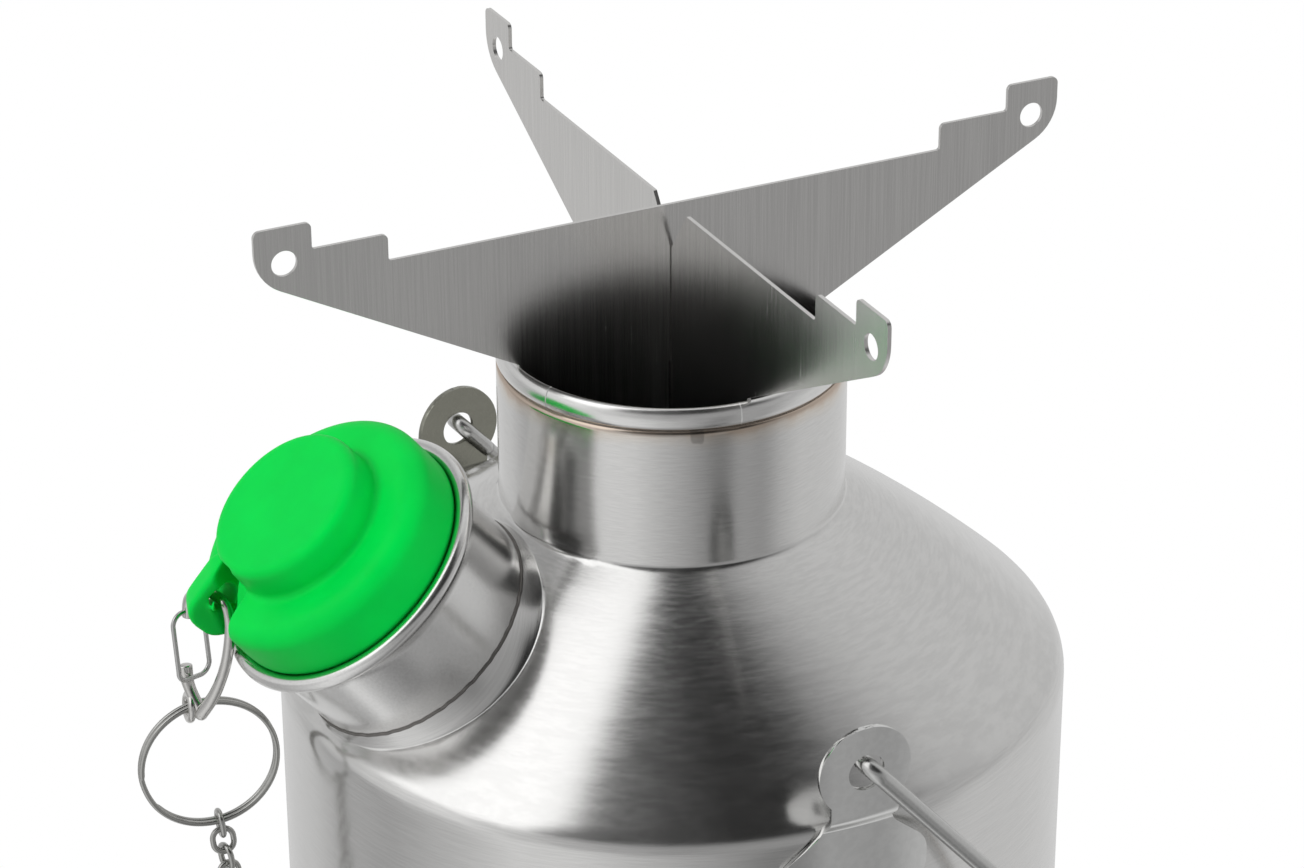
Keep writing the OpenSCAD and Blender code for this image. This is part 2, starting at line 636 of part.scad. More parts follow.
// The split ring's two turns lie side by side in the first link's bend
chain_top_in = link_in + link_r
    - sqrt(pow(link_in - ring_wire / 2 - link_play, 2) - pow(ring_wire / 2 + 0.01, 2));
end_half = end_link_len / 2 - link_r;
end_pitch = link_half + end_half - link_wire - 0.1;
chain_len = link_half - chain_top_in + link_pitch * (links - 2) + end_pitch + end_half;
function sinh(x) = (exp(x) - exp(-x)) / 2;
function cosh(x) = (exp(x) + exp(-x)) / 2;
function asinh(x) = ln(x + sqrt(x * x + 1));
// Half-interval search for the catenary's size
function catenary(lo, hi, n) = let (m = (lo + hi) / 2)
    n == 0 ? m : (2 * m * sinh(chain_run / (2 * m)) > sqrt(chain_len * chain_len - chain_fall * chain_fall)
        ? catenary(m, hi, n - 1) : catenary(lo, m, n - 1));
cat_a = catenary(3, 200, 40);
cat_k = asinh(chain_fall / (2 * cat_a * sinh(chain_run / (2 * cat_a))));
cat_top = chain_run / 2 + cat_a * cat_k;
cat_s = cat_a * sinh(cat_top / cat_a);
cat_z = chain_from[2] - cat_a * cosh(cat_top / cat_a);
// A place on the chain, s along it from its lowest point towards the split ring
function chain_x(s) = cat_top - cat_a * asinh(s / cat_a);
function chain_z(s) = cat_z + sqrt(cat_a * cat_a + s * s);
function chain_slope(s) = atan(s / cat_a);
function link_s(i) = i < links - 1 ? cat_s - link_half + chain_top_in - i * link_pitch
    : cat_s - chain_len + end_half;
ring_twist = chain_turn + 90 - ring_turn;
module link(length, width) {
    bend_r = width / 2 - link_r;
    straight = length - width;
    union() {
        for (s = [-1, 1]) {
            translate([s * straight / 2, 0, 0]) rotate([0, 0, s > 0 ? -90 : 90]) rotate_extrude(angle = 180)
                translate([bend_r, 0]) circle(r = link_r, $fn = 16);
            translate([0, s * bend_r, 0]) rotate([0, 90, 0])
                cylinder(r = link_r, h = straight, center = true, $fn = 16);
        }
    }
}
module chain(first, last) {
    color("silver") translate([chain_from[0], chain_from[1], 0]) rotate([0, 0, chain_turn])
        for (i = [first:last]) {
            s = link_s(i);
            twist = (i % 2 == 0 ? 90 : 0) + max(0, 1 - i / 6) * ring_twist;
            translate([chain_x(s), 0, chain_z(s)]) rotate([0, chain_slope(s), 0])
                rotate([twist, 0, 0])
                    link(i < links - 1 ? link_len : end_link_len, i < links - 1 ? link_w : end_link_w);
        }
}
module chain_upper() { chain(0, links_upper - 1); }
module chain_lower() { chain(links_upper, links - 1); }

// Chain bracket: a strap riveted to the wall, with a tongue that stands off it
module chain_bracket() {
    tongue = bracket_hole_d / 2 + 1.5;
    low = bracket_h - tongue;
    high = bracket_h + 22;
    kink = bracket_h + 5;
    t = ear_t;
    far_r = body_r + bracket_out;
    color("silver") difference() {
        intersection() {
            rotate_extrude() polygon([[far_r, low], [far_r + t, low], [far_r + t, kink],
                [body_r + 0.05 + t, kink + 4], [body_r + 0.05 + t, high], [body_r + 0.05, high],
                [body_r + 0.05, kink + 3.6], [far_r, kink - 0.4]]);
            rotate([0, 0, bracket_turn]) rotate([90, 0, 90]) linear_extrude(height = body_r + 20)
                polygon(rounded(mirrored([[tongue, low, tongue - 0.05], [tongue, kink, 2], [5, kink + 5, 2],
                    [5, high, 3]])));
        }
        rotate([0, 0, bracket_turn]) translate([0, 0, bracket_h]) rotate([0, 90, 0])
            cylinder(d = bracket_hole_d, h = body_r + 20);
    }
}
module bracket_rivets() {
    color("gray") for (z = [bracket_h + 12.5, bracket_h + 18.5])
        rotate([0, 0, bracket_turn]) translate([body_r + 0.05 + ear_t, 0, z]) rotate([0, 90, 0])
            cylinder(d = rivet_d, h = 1);
}

fire_bowl();
shell_wall();
shell_shoulder();
shell_neck();
chimney_cone();
chimney_tube();
bottom_seam();
spout();
ear_near();
ear_far();
chain_bracket();
bracket_rivets();
bail();
grip();
pot_plate_lower();
pot_plate_upper();
stopper();
whistle_plates();
whistle_spacer();
clip();
clip_gate();
split_ring();
chain_upper();
chain_lower();
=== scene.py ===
"""Looks of a storm kettle: spun and polished steel, a soft green whistle stopper on a chain, and a wooden
grip."""

import logging
import math
from dataclasses import dataclass, field
from enum import Enum

import bmesh
import bpy
import numpy as np
from mathutils import Matrix


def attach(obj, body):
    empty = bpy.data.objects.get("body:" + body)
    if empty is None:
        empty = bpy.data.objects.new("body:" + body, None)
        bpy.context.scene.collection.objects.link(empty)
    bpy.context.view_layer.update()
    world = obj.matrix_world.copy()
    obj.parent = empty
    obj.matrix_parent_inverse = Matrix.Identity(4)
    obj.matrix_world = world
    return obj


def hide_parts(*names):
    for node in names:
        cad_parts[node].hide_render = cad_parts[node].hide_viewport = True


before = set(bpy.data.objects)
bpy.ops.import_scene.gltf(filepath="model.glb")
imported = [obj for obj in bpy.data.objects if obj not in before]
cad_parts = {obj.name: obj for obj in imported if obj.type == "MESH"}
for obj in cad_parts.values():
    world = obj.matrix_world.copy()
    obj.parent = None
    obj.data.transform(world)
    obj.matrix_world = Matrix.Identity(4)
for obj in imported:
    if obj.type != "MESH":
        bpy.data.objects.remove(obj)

log = logging.getLogger("storm_kettle")
MM = 0.001
HEM_Z = 231 * MM
SEAM_Z = 60 * MM
TAU = 2.0 * math.pi
UP = np.array([0.0, 0.0, 1.0])


# Vectors, curves and grids


def unit(v: np.ndarray) -> np.ndarray:
    """Return v, or each row of it, at length one."""
    v = np.asarray(v, float)
    return v / np.linalg.norm(v, axis=-1, keepdims=True)


def compass(degrees: float) -> np.ndarray:
    """Return the level direction at that many degrees from +X towards +Y."""
    a = math.radians(degrees)
    return np.array([math.cos(a), math.sin(a), 0.0])


def smoothstep(low: float, high: float, x: np.ndarray) -> np.ndarray:
    """Return 0 below low, 1 above high and a cubic ease between them."""
    t = np.clip((np.asarray(x, float) - low) / (high - low), 0.0, 1.0)
    return t * t * (3.0 - 2.0 * t)


def arc(centre: tuple[float, float], radius: float, start: float, end: float, steps: int = 12) -> np.ndarray:
    """Return points on a circle from one angle in degrees to another.

    Args:
        centre: The circle's middle.
        radius: Its radius.
        start: First angle.
        end: Last angle.
        steps: Number of spans.

    Returns:
        Points, steps + 1 rows of x and y.
    """
    a = np.radians(np.linspace(start, end, steps + 1))
    return np.stack([centre[0] + radius * np.cos(a), centre[1] + radius * np.sin(a)], axis=1)


def rounded(corners: list[tuple[float, float, float]], steps: int = 8, closed: bool = True) -> np.ndarray:
    """Round the corners of an outline with arcs that touch both sides.

    Args:
        corners: Each corner as x, y and its radius.
        steps: Spans of each arc.
        closed: Whether the last corner joins the first.

    Returns:
        The outline's points, one row each.
    """
    out: list[np.ndarray] = []
    n = len(corners)
    for i, (x, y, r) in enumerate(corners):
        b = np.array([x, y])
        if r <= 0 or (not closed and i in (0, n - 1)):
            out.append(b[None])
            continue
        u = unit(np.array(corners[i - 1][:2]) - b)
        v = unit(np.array(corners[(i + 1) % n][:2]) - b)
        half = math.acos(float(np.clip(u @ v, -1, 1))) / 2
        m = b + unit(u + v) * r / math.sin(half)
        first = b + u * r / math.tan(half) - m
        side = math.copysign(1.0, u[0] * v[1] - u[1] * v[0])
        a = -side * (math.pi - 2 * half) * np.linspace(0, 1, steps + 1)
        cos, sin = np.cos(a), np.sin(a)
        turn = np.stack([first[0] * cos - first[1] * sin, first[0] * sin + first[1] * cos], 1)
        out.append(m + turn)
    return np.concatenate(out)


def resampled(path: np.ndarray, spans: int) -> np.ndarray:
    """Return spans + 1 points at equal distances along a path of two or three dimensions."""
    gaps = np.linalg.norm(np.diff(path, axis=0), axis=1)
    s = np.concatenate([[0.0], np.cumsum(gaps)])
    want = np.linspace(0, s[-1], spans + 1)
    return np.stack([np.interp(want, s, path[:, k]) for k in range(path.shape[1])], axis=1)


def flowing(knots: np.ndarray, spans: int) -> np.ndarray:
    """Return a smooth curve through knots: the cubic whose slope at a knot follows its two neighbours."""
    p = np.vstack([knots[:1], knots, knots[-1:]])
    t = np.linspace(0, len(knots) - 1, spans + 1)
    i = np.clip(t.astype(int), 0, len(knots) - 2)
    f = (t - i)[:, None]
    a, b, c, d = p[i], p[i + 1], p[i + 2], p[i + 3]
    return 0.5 * (2 * b + (c - a) * f + (2 * a - 5 * b + 4 * c - d) * f**2 + (3 * b - a - 3 * c + d) * f**3)


def turned(profile: np.ndarray, segments: int, place: Matrix | None = None) -> np.ndarray:
    """Carry a profile round the z axis: point (r, z) goes to (r cos a, r sin a, z).

    Args:
        profile: Rows of radius and height.
        segments: Steps of a full turn.
        place: Where the turned grid goes, or None to leave it.

    Returns:
        A grid of points, profile rows by segments.
    """
    a = TAU * np.arange(segments) / segments
    r, z = profile[:, 0][:, None], profile[:, 1][:, None]
    grid = np.stack([r * np.cos(a), r * np.sin(a), np.broadcast_to(z, (len(profile), segments))], axis=2)
    return moved(grid, place)


def moved(points: np.ndarray, place: Matrix | None) -> np.ndarray:
    """Return points taken through a placing matrix."""
    if place is None:
        return points
    m = np.array(place)
    return points @ m[:3, :3].T + m[:3, 3]


def standing(x: np.ndarray, y: np.ndarray, z: np.ndarray, place: tuple[float, float, float]) -> Matrix:
    """Return the matrix with these three axes and this place."""
    matrix = np.eye(4)
    matrix[:3] = np.column_stack([x, y, z, place])
    return Matrix(matrix.tolist())


def window_edge(rows: np.ndarray, across: np.ndarray) -> np.ndarray:
    """Return the edge of a window in a grid, once round, as pairs of a row and an angle."""
    first, last, left, right = rows[0], rows[-1], across[0], across[-1]
    loop = [(first, a) for a in across] + [(r, right) for r in rows[1:]]
    loop += [(last, a) for a in across[::-1][1:]] + [(r, left) for r in rows[::-1][1:-1]]
    return np.array(loop, float)


def tube(path: np.ndarray, radius: float | np.ndarray, ref: np.ndarray, sides: int = 16,
         closed: bool = False) -> np.ndarray:
    """Carry a circle along a path: each ring stands square to the path, turned by ref, which the path never
    follows.

    Args:
        path: Points of the wire's middle line.
        radius: One radius, or one for each point.
        ref: A direction, or one for each point.
        sides: Points round the wire.
        closed: Whether the path joins its own start.

    Returns:
        A grid of points, path rows by sides.
    """
    ahead = np.roll(path, -1, 0) - np.roll(path, 1, 0)
    if not closed:
        ahead[0], ahead[-1] = path[1] - path[0], path[-1] - path[-2]
    t = unit(ahead)
    s = unit(np.cross(np.broadcast_to(ref, t.shape), t))
    u = np.cross(t, s)
    a = TAU * np.arange(sides) / sides
    r = np.broadcast_to(radius, (len(path),))[:, None, None]
    return path[:, None] + r * (np.cos(a)[None, :, None] * s[:, None] + np.sin(a)[None, :, None] * u[:, None])


class Sheet:
    """Grids of points that become one mesh with its doubles merged."""

    def __init__(self) -> None:
        """Start with nothing."""
        self.points: list[np.ndarray] = []
        self.faces: list[np.ndarray] = []
        self.caps: list[list[int]] = []
        self.count = 0

    def add(self, grid: np.ndarray, wrap_rows: bool = False, wrap_cols: bool = False) -> "Sheet":
        """Add a grid: point (i, j) is joined to its neighbours in i and j.

        Args:
            grid: Points, rows by columns by 3.
            wrap_rows: Whether the last row joins the first.
            wrap_cols: Whether the last column joins the first.

        Returns:
            The same sheet.
        """
        n, m = grid.shape[:2]
        index = self.count + np.arange(n * m).reshape(n, m)
        i = np.arange(n if wrap_rows else n - 1)
        j = np.arange(m if wrap_cols else m - 1)
        a = index[i][:, j]
        b = index[i][:, (j + 1) % m]
        c = index[(i + 1) % n][:, (j + 1) % m]
        d = index[(i + 1) % n][:, j]
        self.faces.append(np.stack([a, b, c, d], axis=-1).reshape(-1, 4))
        self.points.append(grid.reshape(-1, 3))
        self.count += n * m
        return self

    def cap(self, loop: np.ndarray) -> "Sheet":
        """Close a ring of points with a fan to its middle."""
        n = len(loop)
        rim = self.count + np.arange(n)
        middle = np.full(n, self.count + n)
        self.caps.extend(np.stack([rim, np.roll(rim, -1), middle], axis=1).tolist())
        self.points.append(np.vstack([loop, loop.mean(0)]))
        self.count += n + 1
        return self

    def wire(self, path: np.ndarray, radius: float | np.ndarray, ref: np.ndarray, sides: int = 16,
             closed: bool = False) -> "Sheet":
        """Add a round wire, with closed ends unless it is a loop."""
        grid = tube(path, radius, ref, sides, closed)
        self.add(grid, wrap_rows=closed, wrap_cols=True)
        if not closed:
            self.cap(grid[0])
            self.cap(grid[-1])
        return self

    def make(self, name: str, sharp: float = 40.0, outward: bool = True) -> bpy.types.Object:
        """Make the object.

        Args:
            name: The piece's name.
            sharp: Edges steeper than this many degrees stay crisp.
            outward: Whether the faces are turned to point outwards.

        Returns:
            The new object, at the origin.
        """
        mesh = bpy.data.meshes.new(name)
        faces = [q for block in self.faces for q in block.tolist()] + self.caps
        mesh.from_pydata(np.concatenate(self.points).tolist(), [], faces)
        bm = bmesh.new()
        bm.from_mesh(mesh)
        bmesh.ops.remove_doubles(bm, verts=bm.verts, dist=1e-6)
        bmesh.ops.dissolve_degenerate(bm, dist=1e-7, edges=bm.edges)
        if outward:
            bmesh.ops.recalc_face_normals(bm, faces=bm.faces)
        bm.to_mesh(mesh)
        bm.free()
        mesh.shade_smooth()
        mesh.set_sharp_from_angle(angle=math.radians(sharp))
        piece = bpy.data.objects.new(name, mesh)
        bpy.context.scene.collection.objects.link(piece)
        return piece


def thicken(piece: bpy.types.Object, wall: float, offset: float = -1.0) -> None:
    """Give a sheet its wall: inwards at offset -1, and to both sides at 0."""
    thick = piece.modifiers.new("sheet", "SOLIDIFY")
    thick.thickness, thick.offset = wall, offset


def combine(piece: bpy.types.Object, tools: list[tuple[bpy.types.Object, str]]) -> None:
    """Join each tool to a piece, or cut it away, as its operation says."""
    for tool, operation in tools:
        cut = piece.modifiers.new(tool.name, "BOOLEAN")
        cut.object, cut.operation, cut.solver = tool, operation, "MANIFOLD"


def applied(piece: bpy.types.Object, tools: list[tuple[bpy.types.Object, str]] | None = None) -> None:
    """Turn a piece's modifiers into its mesh, and remove the tools that they used."""
    graph = bpy.context.evaluated_depsgraph_get()
    mesh = bpy.data.meshes.new_from_object(piece.evaluated_get(graph))
    piece.modifiers.clear()
    piece.data = mesh
    for tool, _ in tools or []:
        bpy.data.objects.remove(tool)


# Materials


class Nodes:
    """A short way to write a node tree."""

    def __init__(self, tree: bpy.types.NodeTree) -> None:
        """Keep the tree."""
        self.tree = tree

    def add(self, kind: str, inputs: dict | None = None, **props: object) -> bpy.types.Node:
        """Add a node.

        Args:
            kind: Blender's type name.
            inputs: Socket name or number to a value or to an output socket.
            props: Properties set on the node.

        Returns:
            The node.
        """
        node = self.tree.nodes.new(kind)
        for key, value in props.items():
            setattr(node, key, value)
        self.feed(node, inputs or {})
        return node

    def feed(self, node: bpy.types.Node, inputs: dict) -> None:
        """Set a node's sockets, by name or number, each to a value or to an output socket."""
        for key, value in inputs.items():
            if isinstance(value, bpy.types.NodeSocket):
                self.tree.links.new(value, node.inputs[key])
            else:
                node.inputs[key].default_value = value

    def math(self, operation: str, a: object, b: object = 0.0, c: object = 0.0) -> bpy.types.NodeSocket:
        """Return the result of a Math node."""
        return self.add("ShaderNodeMath", {0: a, 1: b, 2: c}, operation=operation).outputs[0]

    def span(self, value: object, low: float, high: float, to_low: float = 0.0, to_high: float = 1.0,
             smooth: bool = True) -> bpy.types.NodeSocket:
        """Return value mapped from one range to another, held at both ends."""
        kind = "SMOOTHSTEP" if smooth else "LINEAR"
        inputs = {"Value": value, "From Min": low, "From Max": high, "To Min": to_low, "To Max": to_high}
        return self.add("ShaderNodeMapRange", inputs, interpolation_type=kind).outputs[0]

    def blend(self, factor: object, a: object, b: object) -> bpy.types.NodeSocket:
        """Return a mix of two values."""
        return self.add("ShaderNodeMix", {0: factor, 2: a, 3: b}).outputs[0]

    def mix(self, factor: object, a: object, b: object) -> bpy.types.NodeSocket:
        """Return a mix of two colours."""
        return self.add("ShaderNodeMix", {0: factor, 6: a, 7: b}, data_type="RGBA").outputs[2]

    def split(self, vector: object) -> list[bpy.types.NodeSocket]:
        """Return a vector's three parts."""
        return list(self.add("ShaderNodeSeparateXYZ", {0: vector}).outputs)

    def from_axis(self, x: object, y: object) -> bpy.types.NodeSocket:
        """Return the distance from the z axis."""
        return self.math("SQRT", self.math("ADD", self.math("MULTIPLY", x, x), self.math("MULTIPLY", y, y)))

    def bump(self, height: object, strength: float, distance: float = 0.0001) -> bpy.types.NodeSocket:
        """Return the normal of a surface with that height."""
        return self.add("ShaderNodeBump",
                        {"Strength": strength, "Distance": distance, "Height": height}).outputs[0]

    def scaled(self, vector: object, x: float, y: float, z: float) -> bpy.types.NodeSocket:
        """Return a vector times one factor for each axis."""
        return self.add("ShaderNodeMapping", {"Vector": vector, "Scale": (x, y, z)}).outputs[0]

    def noise(self, vector: object, scale: float, detail: float = 3.0,
              rough: float = 0.55) -> bpy.types.NodeSocket:
        """Return a cloudy noise's value."""
        inputs = {"Vector": vector, "Scale": scale, "Detail": detail, "Roughness": rough}
        return self.add("ShaderNodeTexNoise", inputs).outputs[0]


def new_group(name: str, ins: dict[str, tuple[str, object]],
              outs: dict[str, str]) -> tuple[bpy.types.NodeTree, Nodes]:
    """Start a shader node group.

    Args:
        name: Its name.
        ins: Input name to socket type and first value.
        outs: Output name to socket type.

    Returns:
        The group and a writer for it.
    """
    group = bpy.data.node_groups.new(name, "ShaderNodeTree")
    for key, (kind, value) in ins.items():
        socket = group.interface.new_socket(key, in_out="INPUT", socket_type=kind)
        if value is not None:
            socket.default_value = value
    for key, kind in outs.items():
        group.interface.new_socket(key, in_out="OUTPUT", socket_type=kind)
    return group, Nodes(group)


def turning_marks() -> bpy.types.NodeTree:
    """Build the group for fine rings left by spinning and polishing.

    The value is a noise that is stretched round the axis: its input is the distance from the axis, the
    height and a little of the direction, so that streaks run round the piece.

    Returns:
        The group, with Streak and Cloud as values about 0.5.
    """
    ins = {"Vector": ("NodeSocketVector", None), "Pitch": ("NodeSocketFloat", 1200.0),
           "Run": ("NodeSocketFloat", 10.0)}
    group, n = new_group("Turning marks", ins, {"Streak": "NodeSocketFloat", "Cloud": "NodeSocketFloat"})
    source = n.add("NodeGroupInput")
    x, y, z = n.split(source.outputs["Vector"])
    radius = n.from_axis(x, y)
    along = n.math("ADD", z, radius)
    angle_x = n.math("DIVIDE", x, n.math("MAXIMUM", radius, 0.001))
    angle_y = n.math("DIVIDE", y, n.math("MAXIMUM", radius, 0.001))
    run = source.outputs["Run"]
    spot = n.add("ShaderNodeCombineXYZ",
                 {0: n.math("MULTIPLY", angle_x, run), 1: n.math("MULTIPLY", angle_y, run),
                                          2: n.math("MULTIPLY", along, source.outputs["Pitch"])}).outputs[0]
    streak = n.noise(spot, 1.0, 4.0, 0.65)
    cloud = n.noise(source.outputs["Vector"], 38.0, 4.0, 0.6)
    n.add("NodeGroupOutput", {"Streak": streak, "Cloud": cloud})
    return group


def brushing_marks() -> bpy.types.NodeTree:
    """Build the group for straight brushing: a noise stretched along one axis of its vector.

    Returns:
        The group, with Streak and Cloud as values about 0.5.
    """
    ins = {"Vector": ("NodeSocketVector", None), "Fineness": ("NodeSocketFloat", 3000.0)}
    group, n = new_group("Brushing marks", ins, {"Streak": "NodeSocketFloat", "Cloud": "NodeSocketFloat"})
    source = n.add("NodeGroupInput")
    x, y, z = n.split(source.outputs["Vector"])
    fine = source.outputs["Fineness"]
    spot = n.add("ShaderNodeCombineXYZ", {0: n.math("MULTIPLY", x, fine), 1: n.math("MULTIPLY", y, fine),
                                          2: n.math("MULTIPLY", z, 45.0)}).outputs[0]
    streak = n.noise(spot, 1.0, 3.0, 0.6)
    cloud = n.noise(source.outputs["Vector"], 60.0, 5.0, 0.65)
    n.add("NodeGroupOutput", {"Streak": streak, "Cloud": cloud})
    return group


def new_material(name: str) -> tuple[bpy.types.Material, Nodes, bpy.types.Node, bpy.types.NodeSocket]:
    """Start a material, and return it with its writer, its Principled shader and Object coordinates."""
    material = bpy.data.materials.new(name)
    material.use_nodes = True
    n = Nodes(material.node_tree)
    shader = material.node_tree.nodes["Principled BSDF"]
    return material, n, shader, n.add("ShaderNodeTexCoord").outputs["Object"]


class Marks(Enum):
    """How a metal piece was finished."""

    TURNED = "turned"
    BRUSHED = "brushed"
    TUMBLED = "tumbled"


@dataclass(frozen=True)
class Steel:
    """A bare metal finish."""

    name: str
    colour: tuple[float, float, float] = (0.72, 0.72, 0.71)
    roughness: float = 0.24
    spread: float = 0.10
    anisotropy: float = 0.0
    marks: Marks = Marks.TURNED
    pitch: float = 1200.0
    bump: float = 0.04
    depth: float = 0.95
    tint_top: float = 0.0
    stain_turn: float = -112.0
    stain_w: float = 2.2
    inner_shade_r: float = 0.0
    inner_shade_top: float = 0.0

    def make(self, kit: "Workshop") -> bpy.types.Material:
        """Build the material.

        Args:
            kit: The shared node groups.

        Returns:
            The material.
        """
        material, n, shader, place = new_material(self.name)
        if self.marks is Marks.TURNED:
            marks = n.add("ShaderNodeGroup", {"Vector": place, "Pitch": self.pitch}, node_tree=kit.turning)
        else:
            marks = n.add("ShaderNodeGroup", {"Vector": place, "Fineness": self.pitch}, node_tree=kit.brushing)
        streak, cloud = marks.outputs["Streak"], marks.outputs["Cloud"]
        if self.marks is Marks.TUMBLED:
            streak = n.noise(place, self.pitch, 2.0, 0.5)
        rough = n.math("ADD", n.span(streak, 0.3, 0.7, -self.spread, self.spread, smooth=False),
                       n.span(cloud, 0.3, 0.7, -self.spread * 0.3, self.spread * 0.3, smooth=False))
        dark = tuple(c * self.depth for c in self.colour) + (1.0,)
        colour = n.mix(n.span(streak, 0.35, 0.65), dark, self.colour + (1.0,))
        if self.tint_top:
            colour = self.heat_tint(n, place, colour)
        rough = n.math("ADD", rough, self.roughness)
        # Painted shade: inside the chimney's bore, below its top, the colour goes near black in cloudy patches
        # and the surface grows rougher, standing in for the shade deep in the tube.
        if self.inner_shade_r:
            x, y, z = n.split(place)
            inside = n.math("MULTIPLY",
                            n.span(n.from_axis(x, y), self.inner_shade_r + 0.25 * MM, self.inner_shade_r + 0.05 * MM),
                            n.span(z, self.inner_shade_top, self.inner_shade_top - 3 * MM))
            patchy_shade = n.math("MULTIPLY", inside, n.span(cloud, 0.25, 0.5, 0.85, 1.0))
            colour = n.mix(patchy_shade, colour, (0.05, 0.048, 0.045, 1.0))
            rough = n.math("ADD", rough, n.math("MULTIPLY", inside, 0.3))
        n.feed(shader, {"Roughness": rough, "Base Color": colour, "Normal": n.bump(streak, self.bump),
                        "Metallic": 1.0})
        if self.anisotropy:
            tangent = n.add("ShaderNodeTangent", direction_type="RADIAL", axis="Z").outputs[0]
            n.feed(shader, {"Anisotropic": self.anisotropy, "Anisotropic Rotation": 0.25, "Tangent": tangent})
        return material

    def heat_tint(self, n: Nodes, place: bpy.types.NodeSocket,
                  colour: bpy.types.NodeSocket) -> bpy.types.NodeSocket:
        """Return the colour with the straw and brown bands that heat leaves under the hem, and one small
        stain.

        Args:
            n: The material's node writer.
            place: Object coordinates.
            colour: The bare metal's colour.

        Returns:
            The tinted colour.
        """
        x, y, z = n.split(place)
        wave = n.math("MULTIPLY", n.math("SUBTRACT", n.noise(place, 60.0, 4.0, 0.65), 0.5), 0.005)
        below = n.math("ADD", n.math("SUBTRACT", self.tint_top, z), wave)
        colour = n.mix(n.span(below, 0.0042, 0.0004, 0.0, 0.38), colour, (0.70, 0.56, 0.40, 1.0))
        colour = n.mix(n.span(below, 0.0018, 0.0002, 0.0, 0.40), colour, (0.42, 0.25, 0.14, 1.0))
        across = n.math("SUBTRACT", n.math("MULTIPLY", n.math("ARCTAN2", y, x), 180 / math.pi),
                        self.stain_turn)
        near = n.math("ADD", n.math("POWER", n.math("DIVIDE", across, self.stain_w), 4.0),
                      n.math("POWER", n.math("DIVIDE", n.math("SUBTRACT", below, 0.0010), 0.0014), 4.0))
        return n.mix(n.span(near, 1.6, 0.3, 0.0, 0.45), colour, (0.16, 0.15, 0.15, 1.0))


@dataclass(frozen=True)
class Silicone:
    """Soft moulded silicone: satin, slightly see-through at its edges."""

    name: str
    colour: tuple[float, float, float] = (0.0, 0.60, 0.065)

    def make(self, kit: "Workshop") -> bpy.types.Material:
        """Build the material with a little cloudiness and fine mould texture."""
        material, n, shader, place = new_material(self.name)
        cloud = n.noise(place, 60.0, 4.0, 0.6)
        deep = tuple(c * 0.9 for c in self.colour) + (1.0,)
        grain = n.noise(place, 2600.0, 2.0, 0.5)
        n.feed(shader, {"Base Color": n.mix(n.span(cloud, 0.3, 0.7), deep, self.colour + (1.0,)),
                        "Roughness": n.span(cloud, 0.3, 0.7, 0.40, 0.50, smooth=False),
                        "Normal": n.bump(grain, 0.05), "Subsurface Weight": 0.25,
                        "Subsurface Radius": (0.2, 1.0, 0.4), "Subsurface Scale": 0.002,
                        "Specular IOR Level": 0.1})
        return material


@dataclass(frozen=True)
class Hardwood:
    """Turned hardwood with its grain along Y."""

    name: str
    light: tuple[float, float, float] = (0.58, 0.38, 0.20)
    dark: tuple[float, float, float] = (0.36, 0.20, 0.09)
    centre: tuple[float, float, float] = (0.0, 0.0, 0.0)

    def make(self, kit: "Workshop") -> bpy.types.Material:
        """Build the material: growth rings bent by noise, pores along the grain and a thin oil."""
        material, n, shader, place = new_material(self.name)
        spot = n.add("ShaderNodeMapping", {"Vector": place, "Location": self.centre,
                                           "Scale": (1.0, 0.12, 1.0)}).outputs[0]
        bent = n.noise(spot, 90.0, 3.0, 0.5)
        x, _, z = n.split(spot)
        across = n.math("ADD", x, n.math("MULTIPLY", z, 0.4))
        ring = n.math("SINE", n.math("ADD", n.math("MULTIPLY", across, 2600.0),
                                     n.math("MULTIPLY", bent, 9.0)))
        fine = n.noise(n.scaled(place, 1.0, 0.03, 1.0), 2200.0, 4.0, 0.7)
        tone = n.math("ADD", n.math("MULTIPLY", ring, 0.22), fine)
        colour = n.mix(n.span(tone, 0.3, 0.8), self.dark + (1.0,), self.light + (1.0,))
        pores = n.span(n.noise(n.scaled(place, 1.0, 0.05, 1.0), 5200.0, 2.0, 0.5), 0.62, 0.72)
        colour = n.mix(n.math("MULTIPLY", pores, 0.5), colour, (0.20, 0.10, 0.045, 1.0))
        n.feed(shader, {"Base Color": colour, "Roughness": n.span(fine, 0.3, 0.7, 0.38, 0.52, smooth=False),
                        "Normal": n.bump(tone, 0.25, 0.0002), "Coat Weight": 0.12, "Coat Roughness": 0.3})
        return material


@dataclass
class Workshop:
    """The shared node groups and every finish of the kettle."""

    turning: bpy.types.NodeTree = field(default_factory=turning_marks)
    brushing: bpy.types.NodeTree = field(default_factory=brushing_marks)
    made: dict[str, bpy.types.Material] = field(default_factory=dict)

    def dress(self, piece: bpy.types.Object, finish: "Steel | Silicone | Hardwood") -> None:
        """Give a piece one finish, on every material slot that it has."""
        if finish.name not in self.made:
            self.made[finish.name] = finish.make(self)
        material = self.made[finish.name]
        if not piece.data.materials:
            piece.data.materials.append(material)
        for k in range(len(piece.data.materials)):
            piece.data.materials[k] = material

    def mount(self, piece: bpy.types.Object, finish: "Steel | Silicone | Hardwood", body: str, slot: str,
              *nodes: str) -> None:
        """Dress a finished piece, tie it to the frame and report it.

        Args:
            piece: The piece.
            finish: Its finish.
            body: The body that it rides on.
            slot: Not used.
            nodes: The solids that it replaces.
        """
        self.dress(piece, finish)
        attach(piece, body)
        if nodes:
            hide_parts(*nodes)
        log.info("%s: %d vertices on %s", piece.name, len(piece.data.vertices), body)


# Sub-assemblies


